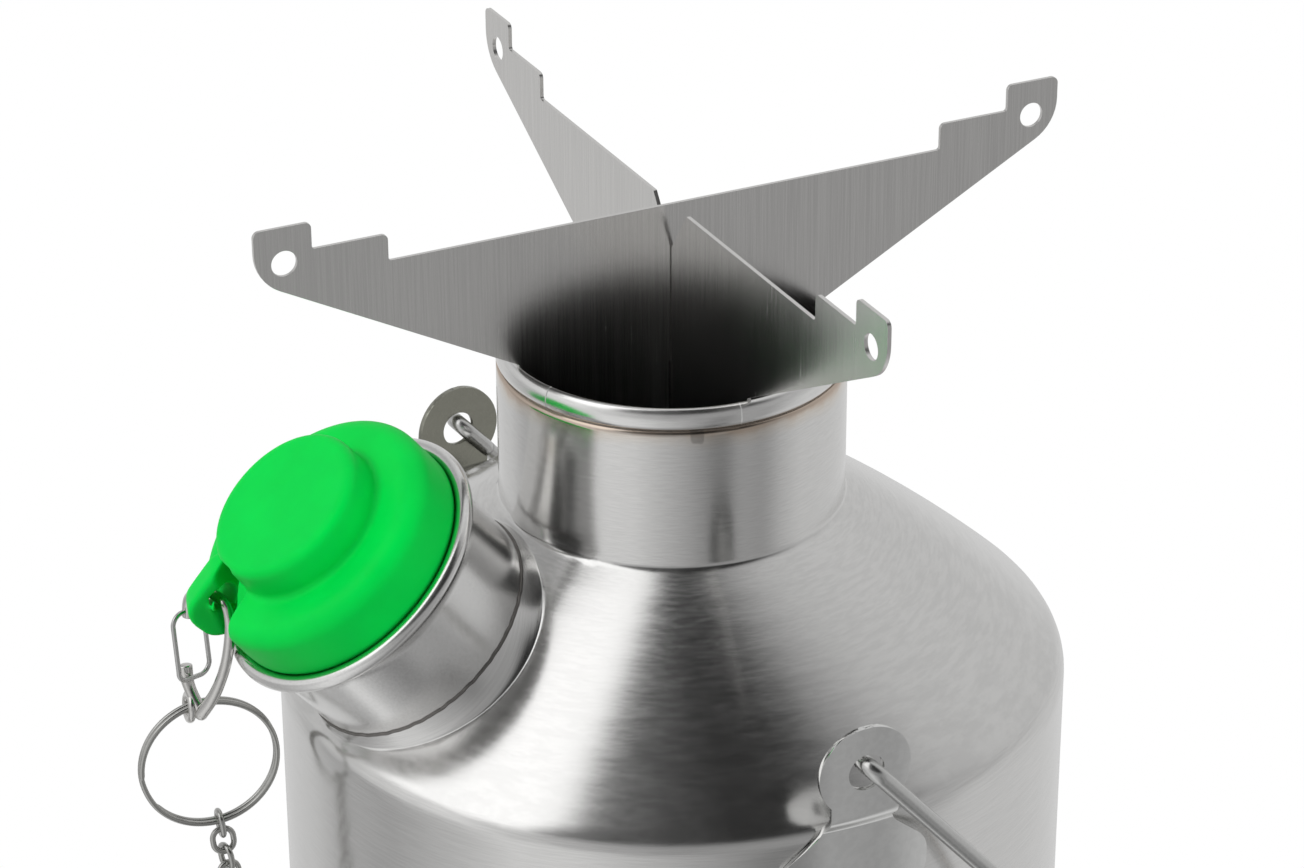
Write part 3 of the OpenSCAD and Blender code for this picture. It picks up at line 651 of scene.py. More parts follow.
@dataclass
class Spout:
    """The short tube, its rolled rim and the frame that the stopper shares."""

    reach: float = 63 * MM
    drop: float = 24 * MM
    rise: float = 51.3
    outer: float = 22.3 * MM
    wall: float = 0.6 * MM
    roll: float = 1.5 * MM
    length: float = 19 * MM
    hem_z: float = HEM_Z

    def place(self) -> Matrix:
        """Return the matrix of the spout's frame: the rim's centre at the origin and the spout's axis along
        z."""
        shift = Matrix.Translation((-self.reach, 0.0, self.hem_z - self.drop))
        return shift @ Matrix.Rotation(math.radians(self.rise - 90.0), 4, "Y")

    def build(self, kit: Workshop) -> None:
        """Build the tube and its roll: a profile of an S from the wall out over the roll, turned about the
        axis."""
        out = self.outer
        roll_c = out + self.roll - 0.05 * MM
        rim = arc((roll_c, 0.0), self.roll, 180 + 55, -122, 40)
        inner, low = out - self.wall, -self.length + 0.05 * MM
        side = resampled(np.array([[out, -self.length + 0.3 * MM], [out, -1.9 * MM]]), 6)
        profile = np.vstack([[[out, low]], side, rim, [[inner, -2.2 * MM], [inner, low]]])
        sheet = Sheet().add(turned(profile, 256, self.place()), wrap_cols=True)
        piece = sheet.make("spout_tube", 60)
        kit.mount(piece, STEEL_SPOUT, "kettle", "polished_steel", "spout")
        a = TAU * np.arange(360) / 360
        wave = 0.05 * MM * np.sin(a * 37) + 0.04 * MM * np.sin(a * 61 + 1.0)
        path = np.stack([(out + 0.06 * MM) * np.cos(a), (out + 0.06 * MM) * np.sin(a), -self.length + wave],
                        axis=1)
        weld = Sheet().wire(moved(path, self.place()), 0.28 * MM, self.axis(), 8,
                            closed=True).make("spout_weld")
        kit.mount(weld, STEEL_WELD, "kettle", "polished_steel")

    def axis(self) -> np.ndarray:
        """Return the direction that the spout points in."""
        a = math.radians(self.rise)
        return np.array([-math.cos(a), 0.0, math.sin(a)])


@dataclass
class Shell:
    """The outer shell: wall, rounded corner, shoulder, crease and neck, with a collar drawn up round the
    spout."""

    body_r: float = 70 * MM
    neck_r: float = 30.4 * MM
    low_z: float = 61 * MM
    corner_z: float = 174.2 * MM
    crease_z: float = 205.4 * MM
    hem_z: float = HEM_Z
    corner_round: float = 6 * MM
    crease_round: float = 1.0 * MM
    bulge: float = 1.1 * MM
    wall: float = 0.6 * MM
    flare: float = 0.5
    flare_power: float = 1.6
    least_room: float = 0.8 * MM
    collar_rows: int = 19
    patch_rows: int = 15
    segments: int = 360
    fine_rows: int = 900
    ease_rows: int = 9
    halvings: int = 34
    wall_rows: int = 390
    wall_gap: int = 30
    bend_gap: int = 5
    crease_rows: int = 14
    window_rows: float = 14.0
    window_steps: int = 6

    def profile(self) -> np.ndarray:
        """Return the shell's outline from its foot to the hem as radius and height."""
        rise = np.array([self.neck_r - self.body_r, self.crease_z - self.corner_z])
        out = np.array([rise[1], -rise[0]]) / np.linalg.norm(rise)
        corner = np.array([self.body_r, self.corner_z])
        middle = []
        for k in range(1, 9):
            u = k / 9
            middle.append((*(corner + rise * u + out * 4 * self.bulge * u * (1 - u)), 0.0))
        corners = [(self.body_r, self.low_z, 0.0), (self.body_r, self.corner_z, self.corner_round), *middle,
                   (self.neck_r, self.crease_z, self.crease_round), (self.neck_r, self.hem_z, 0.0)]
        line = rounded(corners, 10, closed=False)
        fine = resampled(line, self.fine_rows)
        kernel = np.hanning(self.ease_rows)
        kernel /= kernel.sum()
        beyond = self.ease_rows // 2
        padded = np.pad(fine, ((beyond, beyond), (0, 0)), mode="reflect", reflect_type="odd")
        return np.stack([np.convolve(padded[:, k], kernel, mode="valid") for k in (0, 1)], axis=1)

    def body_distance(self, points: np.ndarray, line: np.ndarray) -> np.ndarray:
        """Return how far points stand outside the outline, in the half plane of radius and height."""
        r = np.hypot(points[..., 0], points[..., 1]).ravel()
        z = points[..., 2].ravel()
        gaps = (r[:, None] - line[None, :, 0]) ** 2 + (z[:, None] - line[None, :, 1]) ** 2
        near = np.clip(gaps.argmin(1), 1, len(line) - 2)
        t = unit(line[near + 1] - line[near - 1])
        side = t[:, 1] * (r - line[near, 0]) - t[:, 0] * (z - line[near, 1])
        return side.reshape(points.shape[:-1])

    def station(self, points: np.ndarray, line: np.ndarray) -> tuple[np.ndarray, np.ndarray]:
        """Return each point's place on the outline, as a fraction of its rows, and its angle from -X."""
        r = np.hypot(points[..., 0], points[..., 1])
        gaps = (r[..., None] - line[:, 0]) ** 2 + (points[..., 2][..., None] - line[:, 1]) ** 2
        near = np.clip(gaps.argmin(-1), 1, len(line) - 2)
        t = line[near + 1] - line[near - 1]
        out, up = r - line[near, 0], points[..., 2] - line[near, 1]
        lead = (out * t[..., 0] + up * t[..., 1]) / (t**2).sum(-1)
        return near + 2 * lead, np.arctan2(-points[..., 1], -points[..., 0])

    def on_body(self, row: np.ndarray, angle: np.ndarray, line: np.ndarray) -> np.ndarray:
        """Return the body's points at rows of the outline and angles from -X."""
        k = np.arange(len(line))
        row, angle = np.broadcast_arrays(row, angle)
        r, z = np.interp(row, k, line[:, 0]), np.interp(row, k, line[:, 1])
        return np.stack([-r * np.cos(angle), -r * np.sin(angle), z], axis=-1)

    def collar(self, phi: np.ndarray, line: np.ndarray, spout: Spout) -> np.ndarray:
        """Return the collar's grid at directions round the spout, from the tube's weld to its foot on the
        body.

        In each direction it falls from the weld to the shoulder along a power curve that ends level with the
        shoulder, and its height is the weld's own clearance there. Its places along the axis are found by
        halving.
        """
        place = spout.place()
        ring = np.stack([spout.outer * np.cos(phi), spout.outer * np.sin(phi),
                         np.full(len(phi), -spout.length)], 1)
        room = np.maximum(self.body_distance(moved(ring, place), line), self.least_room)[None]
        t = np.linspace(0, 1, self.collar_rows)[:, None]
        out = spout.outer + self.flare * room * t
        lift = room * (1 - t) ** self.flare_power
        low, high = np.full(out.shape, -50 * MM), np.full(out.shape, 2 * MM)
        for _ in range(self.halvings):
            mid = (low + high) / 2
            spots = moved(np.stack([out * np.cos(phi), out * np.sin(phi), mid], axis=2), place)
            above = self.body_distance(spots, line) > lift
            high, low = np.where(above, mid, high), np.where(above, low, mid)
        grid = moved(np.stack([out * np.cos(phi), out * np.sin(phi), (low + high) / 2], axis=2), place)
        grid[0] = moved(ring, place)
        return grid

    def build(self, kit: Workshop, spout: Spout) -> None:
        """Build the shell as grids that share their edges: the turned body, a patch in its window and the
        collar.

        The window spans whole rows and steps of the body round the collar's foot. Each point of its edge
        meets the foot's point in the same direction from the foot's middle, and the patch runs straight
        between them in rows and angles.

        Args:
            kit: The finishes.
            spout: The spout, for its frame and radius.
        """
        line = self.profile()
        phi = TAU * np.arange(720) / 720
        foot_row, foot_angle = self.station(self.collar(phi, line, spout)[-1], line)
        rows = self.body_rows(line)
        first = rows[rows < foot_row.min() - self.window_rows][-1]
        last = rows[rows > foot_row.max() + self.window_rows][0]
        step = TAU / self.segments
        half = int(math.ceil(abs(foot_angle).max() / step)) + self.window_steps
        in_rows = rows[(rows >= first) & (rows <= last)]
        across = step * np.arange(-half, half + 1)
        edge = window_edge(in_rows, across)

        mid_row = (foot_row.max() + foot_row.min()) / 2
        scale = (foot_row.max() - foot_row.min()) / (2 * abs(foot_angle).max())
        foot_turn = np.unwrap(np.arctan2(foot_row - mid_row, foot_angle * scale))
        way = math.copysign(1.0, foot_turn[-1] - foot_turn[0])
        edge_turn = ((np.arctan2(edge[:, 0] - mid_row, edge[:, 1] * scale) - foot_turn[0]) * way) % TAU
        turn = (foot_turn - foot_turn[0]) * way
        collar = self.collar(np.interp(edge_turn, np.append(turn, TAU), np.append(phi, TAU)), line, spout)
        row, angle = self.station(collar[-1], line)
        v = np.linspace(0, 1, self.patch_rows)[:, None]
        patch = self.on_body(row + (edge[:, 0] - row) * v, angle + (edge[:, 1] - angle) * v, line)
        patch[0] = collar[-1]

        turns = step * np.arange(self.segments)
        beside = step * np.arange(half, self.segments - half + 1)
        sheet = Sheet().add(collar, wrap_cols=True).add(patch, wrap_cols=True)
        sheet.add(self.on_body(rows[rows <= first][:, None], turns[None], line), wrap_cols=True)
        sheet.add(self.on_body(rows[rows >= last][:, None], turns[None], line), wrap_cols=True)
        sheet.add(self.on_body(in_rows[:, None], beside[None], line))
        piece = sheet.make("shell_skin", 50)
        thicken(piece, self.wall)
        applied(piece)
        kit.mount(piece, STEEL_BODY, "kettle", "polished_steel", "shell_wall", "shell_shoulder", "shell_neck")

    def body_rows(self, line: np.ndarray) -> np.ndarray:
        """Return the outline's rows that the grid uses: close together on bends and further apart on the
        wall."""
        wall = np.arange(0, self.wall_rows, self.wall_gap)
        bends = np.arange(self.wall_rows, len(line) - 1, self.bend_gap)
        crease = int(abs(line[:, 1] - self.crease_z).argmin())
        close = np.arange(crease - self.crease_rows, crease + self.crease_rows + 1)
        return np.unique(np.concatenate([wall, bends, close, [len(line) - 1]])).astype(float)


@dataclass
class Chimney:
    """The chimney's tube and cone, the hem over the neck and the two seam marks on it."""

    bore: float = 29.2 * MM
    sheet_t: float = 0.5 * MM
    hem_z: float = HEM_Z
    hem_h: float = 4 * MM
    seam_z: float = SEAM_Z
    cone_r: float = 61 * MM
    cone_h: float = 140 * MM
    bead_r: float = 29.35 * MM
    bead_w: float = 1.25 * MM
    bead_low: float = 0.36
    seam_h: float = 0.11 * MM
    seam_turns: tuple[float, float] = (-164.0, -97.5)

    def build(self, kit: Workshop) -> None:
        """Build the chimney: a profile up the inside, over a hem of half an ellipse and down the outside,
        turned."""
        top, foot = self.hem_z + self.hem_h, self.hem_z + 0.1 * MM
        a = np.radians(np.linspace(118, -62, 40))
        widest = foot + (top - foot) * self.bead_low
        hem = np.stack([self.bead_r + self.bead_w * np.cos(a), widest + np.where(a > 0, top - widest,
                        (widest - foot) / math.sin(math.radians(62))) * np.sin(a)], axis=1)
        outside = rounded([(self.bore + self.sheet_t, foot + 0.05 * MM, 0.0),
                           (self.bore + self.sheet_t, self.seam_z + self.cone_h, 20 * MM),
                           (self.cone_r + self.sheet_t, self.seam_z + 1.1 * MM, 0.0)], 10, closed=False)
        inside = rounded([(self.cone_r, self.seam_z + 1.1 * MM, 0.0),
                          (self.bore, self.seam_z + self.cone_h, 20 * MM),
                          (self.bore, top - 1.0 * MM, 0.4 * MM), (float(hem[0, 0]), float(hem[0, 1]), 0.0)],
                         10, closed=False)
        grid = turned(np.vstack([inside, hem[1:], outside]), 256)
        piece = Sheet().add(grid, wrap_rows=True, wrap_cols=True).make("chimney_tube", 50)
        kit.mount(piece, STEEL_CHIMNEY, "kettle", "polished_steel", "chimney_cone", "chimney_tube")
        seams = Sheet()
        for turn in self.seam_turns:
            way = compass(turn)
            seams.wire(hem[4:-3, :1] * way + hem[4:-3, 1:] * UP, self.seam_h, np.cross(way, UP), 8)
        ticks = seams.make("hem_seams", 60)
        kit.mount(ticks, STEEL_EAR, "kettle", "polished_steel")


@dataclass
class Ear:
    """One ear: a curved plate with a round head, a joggled neck and a wide foot welded to the wall."""

    side: int
    shift: float = 5.3 * MM
    centre_z: float = 186.6 * MM
    hole: float = 3.3 * MM
    head: float = 8.4 * MM
    waist: float = 6.2 * MM
    foot: float = 13.8 * MM
    foot_top: float = 168.6 * MM
    foot_low: float = 159.5 * MM
    bend_z: float = 175 * MM
    plate_r: float = 70.05 * MM
    plate_t: float = 1 * MM
    joggle: float = 2.15 * MM
    bend_h: float = 3.4 * MM

    def side_line(self) -> np.ndarray:
        """Return the plate's right edge about the hole's middle, as half width and height, from foot to
        head."""
        open_a = math.degrees(math.acos(self.waist / self.head))
        head = arc((0.0, 0.0), self.head, -open_a, 90, 60)
        z = self.centre_z
        line = rounded([(0.0, self.foot_low - z, 0.0), (self.foot, self.foot_low - z, 5.5 * MM),
                        (self.foot, self.foot_top - z, 5 * MM), (self.waist, self.bend_z - z, 4 * MM),
                        (float(head[0, 0]), float(head[0, 1]), 0.0)], 14, closed=False)
        return np.vstack([line[1:-1], head])

    def build(self, kit: Workshop) -> None:
        """Build the plate from rows of points that run from the hole, or the middle, out to both edges.

        A point at height z lies on a cylinder of radius R(z), which eases from the wall's radius to the
        head's over the bend.
        """
        edge = self.side_line()
        around = self.hole * np.cos(np.linspace(0, math.pi, 49))
        rows = np.unique(np.concatenate([resampled(edge, 150)[:, 1], around]).round(7))
        rows = rows[np.concatenate([[True], np.diff(rows) > 0.02 * MM])]
        wide = np.interp(rows, edge[:, 1], edge[:, 0])[:, None]
        gap = np.sqrt(np.maximum(self.hole**2 - rows**2, 0.0))[:, None]
        u = 0.5 - 0.5 * np.cos(math.pi * np.linspace(0, 1, 29))[None]
        across = gap + (wide - gap) * u
        z = np.broadcast_to(rows[:, None] + self.centre_z, across.shape)
        bend = smoothstep(self.bend_z, self.bend_z + self.bend_h, z)
        radius = self.plate_r + self.plate_t / 2 + self.joggle * bend
        sheet = Sheet()
        for half in (-1, 1):
            x = half * across - self.shift
            sheet.add(np.stack([x, self.side * np.sqrt(radius**2 - x**2), z], axis=2))
        piece = sheet.make(f"ear_plate_{self.name()}", 50)
        thicken(piece, self.plate_t, 0.0)
        soft = piece.modifiers.new("edge", "BEVEL")
        soft.width, soft.segments, soft.limit_method = 0.15 * MM, 2, "ANGLE"
        applied(piece)
        piece.data.shade_smooth()
        # The far ear is the same pressed steel as the near one; its much darker copy of the finish is painted
        # shade.
        kit.mount(piece, STEEL_EAR if self.side < 0 else STEEL_EAR_PAINTED_SHADE, "kettle", "polished_steel",
                  f"ear_{self.name()}")

    def name(self) -> str:
        """Return near or far."""
        return "near" if self.side < 0 else "far"


@dataclass
class Bail:
    """The wire bail and its wooden grip, hanging against the wall."""

    wire: float = 1.5 * MM
    reach: float = 130 * MM
    shift: float = 5.3 * MM
    pivot_z: float = 187.9 * MM
    ear_mid: float = 72.507 * MM
    splay: float = 8.5 * MM
    bend: float = 14 * MM
    hook: float = 8.5 * MM
    rest_x: float = 80.3 * MM
    ear_t: float = 1 * MM
    grip_len: float = 96 * MM
    grip_r: float = 10 * MM
    grip_end_r: float = 7.5 * MM
    play: float = 0.25 * MM

    def place(self) -> Matrix:
        """Return the matrix of the bail's frame, with x towards the grip."""
        rest = math.acos((self.rest_x + self.shift) / self.reach)
        return Matrix.Translation((-self.shift, 0.0, self.pivot_z)) @ Matrix.Rotation(rest, 4, "Y")

    def half(self) -> np.ndarray:
        """Return one half of the wire's middle line in its own plane, from the hook to the grip's middle."""
        hook_r = self.ear_t / 2 + 0.4 * MM + self.wire
        leg_y = self.ear_mid + hook_r
        tilt = math.atan(self.splay / self.reach)
        leg = (self.reach - hook_r) / math.cos(tilt)
        cut = self.bend * math.tan((math.pi / 2 + tilt) / 2)
        hook = arc((hook_r, self.ear_mid), hook_r, 270, 90, 24)
        ahead = np.array([math.cos(tilt), math.sin(tilt)])
        start = np.array([hook_r, leg_y])
        turn_at = start + ahead * (leg - cut)
        middle = turn_at + self.bend * np.array([ahead[1], -ahead[0]])
        corner = arc(tuple(middle), self.bend, 90 + math.degrees(tilt), 0, 28)
        straight_in = np.linspace([self.hook, self.ear_mid - hook_r], [hook_r, self.ear_mid - hook_r], 8)[:-1]
        straight_leg = np.linspace(start, turn_at, 30)[1:-1]
        cross = np.linspace(corner[-1], [self.reach, 0.0], 24)[1:]
        return np.vstack([straight_in, hook, straight_leg, corner, cross])

    def build(self, kit: Workshop) -> None:
        """Build the wire as one tube in its plane, and the grip as a turned profile on it."""
        half = self.half()
        flat = np.vstack([half, (half * np.array([1.0, -1.0]))[::-1][1:]])
        path = moved(np.column_stack([flat, np.zeros(len(flat))]), self.place())
        normal = np.array(self.place())[:3, 2]
        n = len(path)
        radius = np.full(n, self.wire)
        radius[[0, -1]] = self.wire * 0.72
        radius[[1, -2]] = self.wire * 0.97
        path[1] = path[0] * 0.75 + path[1] * 0.25
        path[-2] = path[-1] * 0.75 + path[-2] * 0.25
        piece = Sheet().wire(path, radius, normal, 24).make("bail_wire", 60)
        kit.mount(piece, STEEL_WIRE, "bail", "wire_steel", "bail")

        half_l, bore = self.grip_len / 2, self.wire + self.play
        edge = 2.5 * MM
        low = arc((self.grip_end_r - edge, -half_l + edge), edge, -90, -8, 8)
        y = np.linspace(-half_l + edge, half_l - edge, 61)[1:-1]
        belly = self.grip_end_r + (self.grip_r - self.grip_end_r) * (1 - (abs(y) / (half_l - edge)) ** 2.4)
        high = low[::-1] * np.array([1.0, -1.0])
        mouth = np.array([[bore, half_l - 0.6 * MM], [bore, -half_l + 0.6 * MM], [bore + 0.6 * MM, -half_l]])
        profile = np.vstack([low, np.stack([belly, y], axis=1), high, [[bore + 0.6 * MM, half_l]], mouth])
        place = self.place() @ Matrix.Translation((self.reach, 0, 0)) @ Matrix.Rotation(math.pi / 2, 4, "X")
        grip = Sheet().add(turned(profile, 128, place), wrap_rows=True, wrap_cols=True).make("grip_wood", 50)
        kit.mount(grip, WOOD, "grip", "turned_wood", "grip")


@dataclass
class Stopper:
    """The soft stopper: plug, pillowed flange, raised knob and a fin-shaped lug with a hole for the clip."""

    plug_r: float = 21.4 * MM
    plug_depth: float = 14 * MM
    flange_r: float = 22.7 * MM
    flange_h: float = 12 * MM
    flange_round: float = 3.6 * MM
    knob_r: float = 14.3 * MM
    knob_h: float = 19 * MM
    knob_round: float = 1.6 * MM
    lug_drop: float = 3.4 * MM
    lug_t: float = 5 * MM
    lug_turn: float = 24.0
    lug_reach: float = 27.2 * MM
    hole_r: float = 2.6 * MM
    hole_turn: float = 100.0
    hole_at: tuple[float, float, float] = (-83.592 * MM, 8.216 * MM, 203.188 * MM)
    voxel: float = 0.32 * MM
    eases: int = 12

    def body(self, spout: Spout) -> bpy.types.Object:
        """Return the turned part: plug, groove over the rim's roll, flange and knob, hollow from below."""
        roll_c, lip = spout.outer + spout.roll - 0.05 * MM, spout.roll + 0.15 * MM
        inner = self.plug_r - 4.5 * MM
        turns = np.radians([160, 150, 140, 130])
        seat = np.stack([roll_c + lip * np.cos(turns), lip * np.sin(turns)], axis=1)
        outline = np.vstack([
            [[0.0, -1 * MM], [inner, -1 * MM], [inner, -self.plug_depth]],
            rounded([(inner, -self.plug_depth, 0), (self.plug_r, -self.plug_depth, 2 * MM),
                     (self.plug_r, 0.2 * MM, 0)], 8, closed=False), seat,
            rounded([(self.flange_r, 1.35 * MM, 0), (self.flange_r, self.flange_h, self.flange_round),
                     (self.knob_r + 0.2 * MM, self.flange_h, 1.0 * MM),
                     (self.knob_r, self.knob_h, self.knob_round),
                     (0.0, self.knob_h, 0)], 12, closed=False)])
        keep = np.concatenate([[True], np.linalg.norm(np.diff(outline, axis=0), axis=1) > 1e-7])
        return Sheet().add(turned(outline[keep], 160, spout.place()), wrap_cols=True).make("stopper_soft")

    def fin(self, spout: Spout) -> bpy.types.Object:
        """Return the lug: an outline in the plane of the spout's axis, given its thickness by a grid across
        it."""
        top = self.knob_h - self.lug_drop
        outline = rounded([(9 * MM, 3 * MM, 0), (9 * MM, top, 0), (self.knob_r + 3 * MM, top, 4 * MM),
                           (self.lug_reach, top - 4.2 * MM, 5 * MM),
                           (self.lug_reach - 0.8 * MM, 4 * MM, 3 * MM),
                           (self.flange_r - 0.6 * MM, 2 * MM, 0.8 * MM), (self.flange_r - 4 * MM, 3 * MM, 0)],
                          10)
        rim = resampled(np.vstack([outline, outline[:1]]), 240)[:-1]
        edge = unit(np.roll(rim, -1, 0) - np.roll(rim, 1, 0))
        out = np.stack([edge[:, 1], -edge[:, 0]], axis=1)
        if ((rim - rim.mean(0)) * out).sum() < 0:
            out = -out
        half, soft = self.lug_t / 2, 0.8 * MM
        a = np.radians(np.linspace(-90, 90, 15))
        rows = []
        for s in a:
            inset = soft * (1 - math.cos(s))
            across = math.copysign(half - soft + soft * abs(math.sin(s)), s) if abs(s) > 1e-6 else 0.0
            flat = rim - out * inset
            rows.append(np.column_stack([flat[:, 0], np.full(len(flat), across), flat[:, 1]]))
        turn = Matrix.Rotation(math.radians(180 - self.lug_turn), 4, "Z")
        grid = moved(np.stack(rows), spout.place() @ turn)
        return Sheet().add(grid, wrap_cols=True).cap(grid[0]).cap(grid[-1]).make("lug_fin")

    def block(self, name: str, place: Matrix, *spans: tuple[float, float]) -> bpy.types.Object:
        """Return a cutting block in the clip's frame, from its spans along x, y and z in millimetres."""
        corners = np.array([[x, y, z] for x in spans[0] for y in spans[1] for z in spans[2]]) * MM
        box = Sheet()
        box.points, box.count = [moved(corners, place)], 8
        box.caps = [[0, 1, 3, 2], [4, 6, 7, 5], [0, 4, 5, 1], [2, 3, 7, 6], [0, 2, 6, 4], [1, 5, 7, 3]]
        return box.make(name)

    def build(self, kit: Workshop, spout: Spout, tether: "Tether") -> None:
        """Join body and lug, cut the hole and the groove for the clip, and melt all edges as a mould would.

        Args:
            kit: The finishes.
            spout: The spout that the stopper sits in.
            tether: The tether, for the clip's frame.
        """
        piece = self.body(spout)
        fin = self.fin(spout)
        bore = Sheet().wire(np.array([self.hole_at + compass(self.hole_turn) * s * MM for s in (-5, 5)]),
                            self.hole_r, UP, 48).make("bore_tool")
        place = tether.clip_place()
        groove = self.block("groove_tool", place, (0.9, 4.5), (-8.0, 3.2), (-10.0, -0.6))
        pocket = self.block("pocket_tool", place, (2.5, 5.5), (-8.0, 3.2), (-10.0, 10.0))
        trim = self.block("trim_tool", place, (2.6, 8.5), (-8.0, -1.4), (-10.0, 10.0))
        tools = [(fin, "UNION")] + [(tool, "DIFFERENCE") for tool in (bore, groove, pocket, trim)]
        combine(piece, tools)
        melt = piece.modifiers.new("melt", "REMESH")
        melt.mode, melt.voxel_size = "VOXEL", self.voxel
        ease = piece.modifiers.new("ease", "SMOOTH")
        ease.factor, ease.iterations = 0.5, self.eases
        applied(piece, tools)
        piece.data.shade_smooth()
        kit.mount(piece, SILICONE, "stopper", "green_rubber", "stopper")


@dataclass
class PotPlate:
    """One plate of the pot support: two arms with stepped tops, and half of the crossing slot."""

    name: str
    turn: float
    slot_above: bool
    thick: float = 0.7 * MM
    reach: float = 75.75 * MM
    inside: float = 29.05 * MM
    hem_z: float = HEM_Z
    seat_z: float = 235.3 * MM
    tip_h: float = 38 * MM
    tip_len: float = 10.15 * MM
    tip_t: float = 8.9 * MM
    step_h: float = 4.8 * MM
    step_len: float = 13.4 * MM
    depth: float = 22 * MM
    hole_r: float = 2.25 * MM
    hole_in: float = 5.2 * MM
    hole_down: float = 6.4 * MM
    slot_w: float = 1.3 * MM
    mouth: float = 6.3 * MM
    mouth_drop: float = 7.9 * MM
    edge: float = 0.16 * MM

    def outline(self) -> np.ndarray:
        """Return the plate's outline as distance from the middle and height, with its slot."""
        top, low = self.hem_z + self.tip_h, self.hem_z - self.depth
        mid = self.hem_z - 1 * MM
        first, second = top - 2 * self.step_h, top - self.step_h
        out = self.reach - self.tip_len
        half = self.slot_w / 2
        side = [(self.inside, low, 1.5 * MM), (self.inside, self.seat_z, 0.0),
                (self.reach, top - self.tip_t, 8 * MM),
                (self.reach, top, 1.2 * MM), (out, top, 1 * MM), (out, second, 0.6 * MM),
                (out - self.step_len, second, 1 * MM), (out - self.step_len, first, 0.6 * MM)]
        above = [(self.mouth, first, 0.3 * MM), (half, first - self.mouth_drop, 0.4 * MM), (half, mid, 0.0)]
        corners = side + above if self.slot_above else [(half, low, 0.3 * MM)] + side
        mirrored = [(-x, z, r) for x, z, r in corners[::-1]]
        closing = [] if self.slot_above else [(-half, mid, 0.0), (half, mid, 0.0)]
        return rounded(corners + mirrored + closing, 8)

    def build(self, kit: Workshop) -> None:
        """Build the plate: its outline given a thickness, two round holes cut and every edge eased."""
        place = Matrix.Rotation(math.radians(self.turn), 4, "Z")
        flat = self.outline()
        half = self.thick / 2
        sides = [moved(np.column_stack([flat[:, 0], np.full(len(flat), y), flat[:, 1]]),
                       place) for y in (-half, half)]
        sheet = Sheet().add(np.stack(sides), wrap_cols=True)
        n = len(flat)
        sheet.caps = [list(range(n))[::-1], list(range(n, 2 * n))]
        piece = sheet.make(f"{self.name}_sheet", 30)
        tools = []
        for side in (-1, 1):
            spot = np.array([side * (self.reach - self.hole_in), 0.0,
                             self.hem_z + self.tip_h - self.hole_down])
            ends = moved(np.array([spot - [0, 2 * MM, 0], spot + [0, 2 * MM, 0]]), place)
            tools.append((Sheet().wire(ends, self.hole_r, UP, 48).make("hole_tool"), "DIFFERENCE"))
        combine(piece, tools)
        soft = piece.modifiers.new("edge", "BEVEL")
        soft.width, soft.segments = self.edge, 3
        soft.limit_method, soft.angle_limit = "ANGLE", math.radians(50)
        applied(piece, tools)
        piece.data.shade_smooth()
        piece.data.set_sharp_from_angle(angle=math.radians(12))
        body = self.name.replace("plate_", "")
        kit.mount(piece, STEEL_PLATE, body, "brushed_plate", self.name)


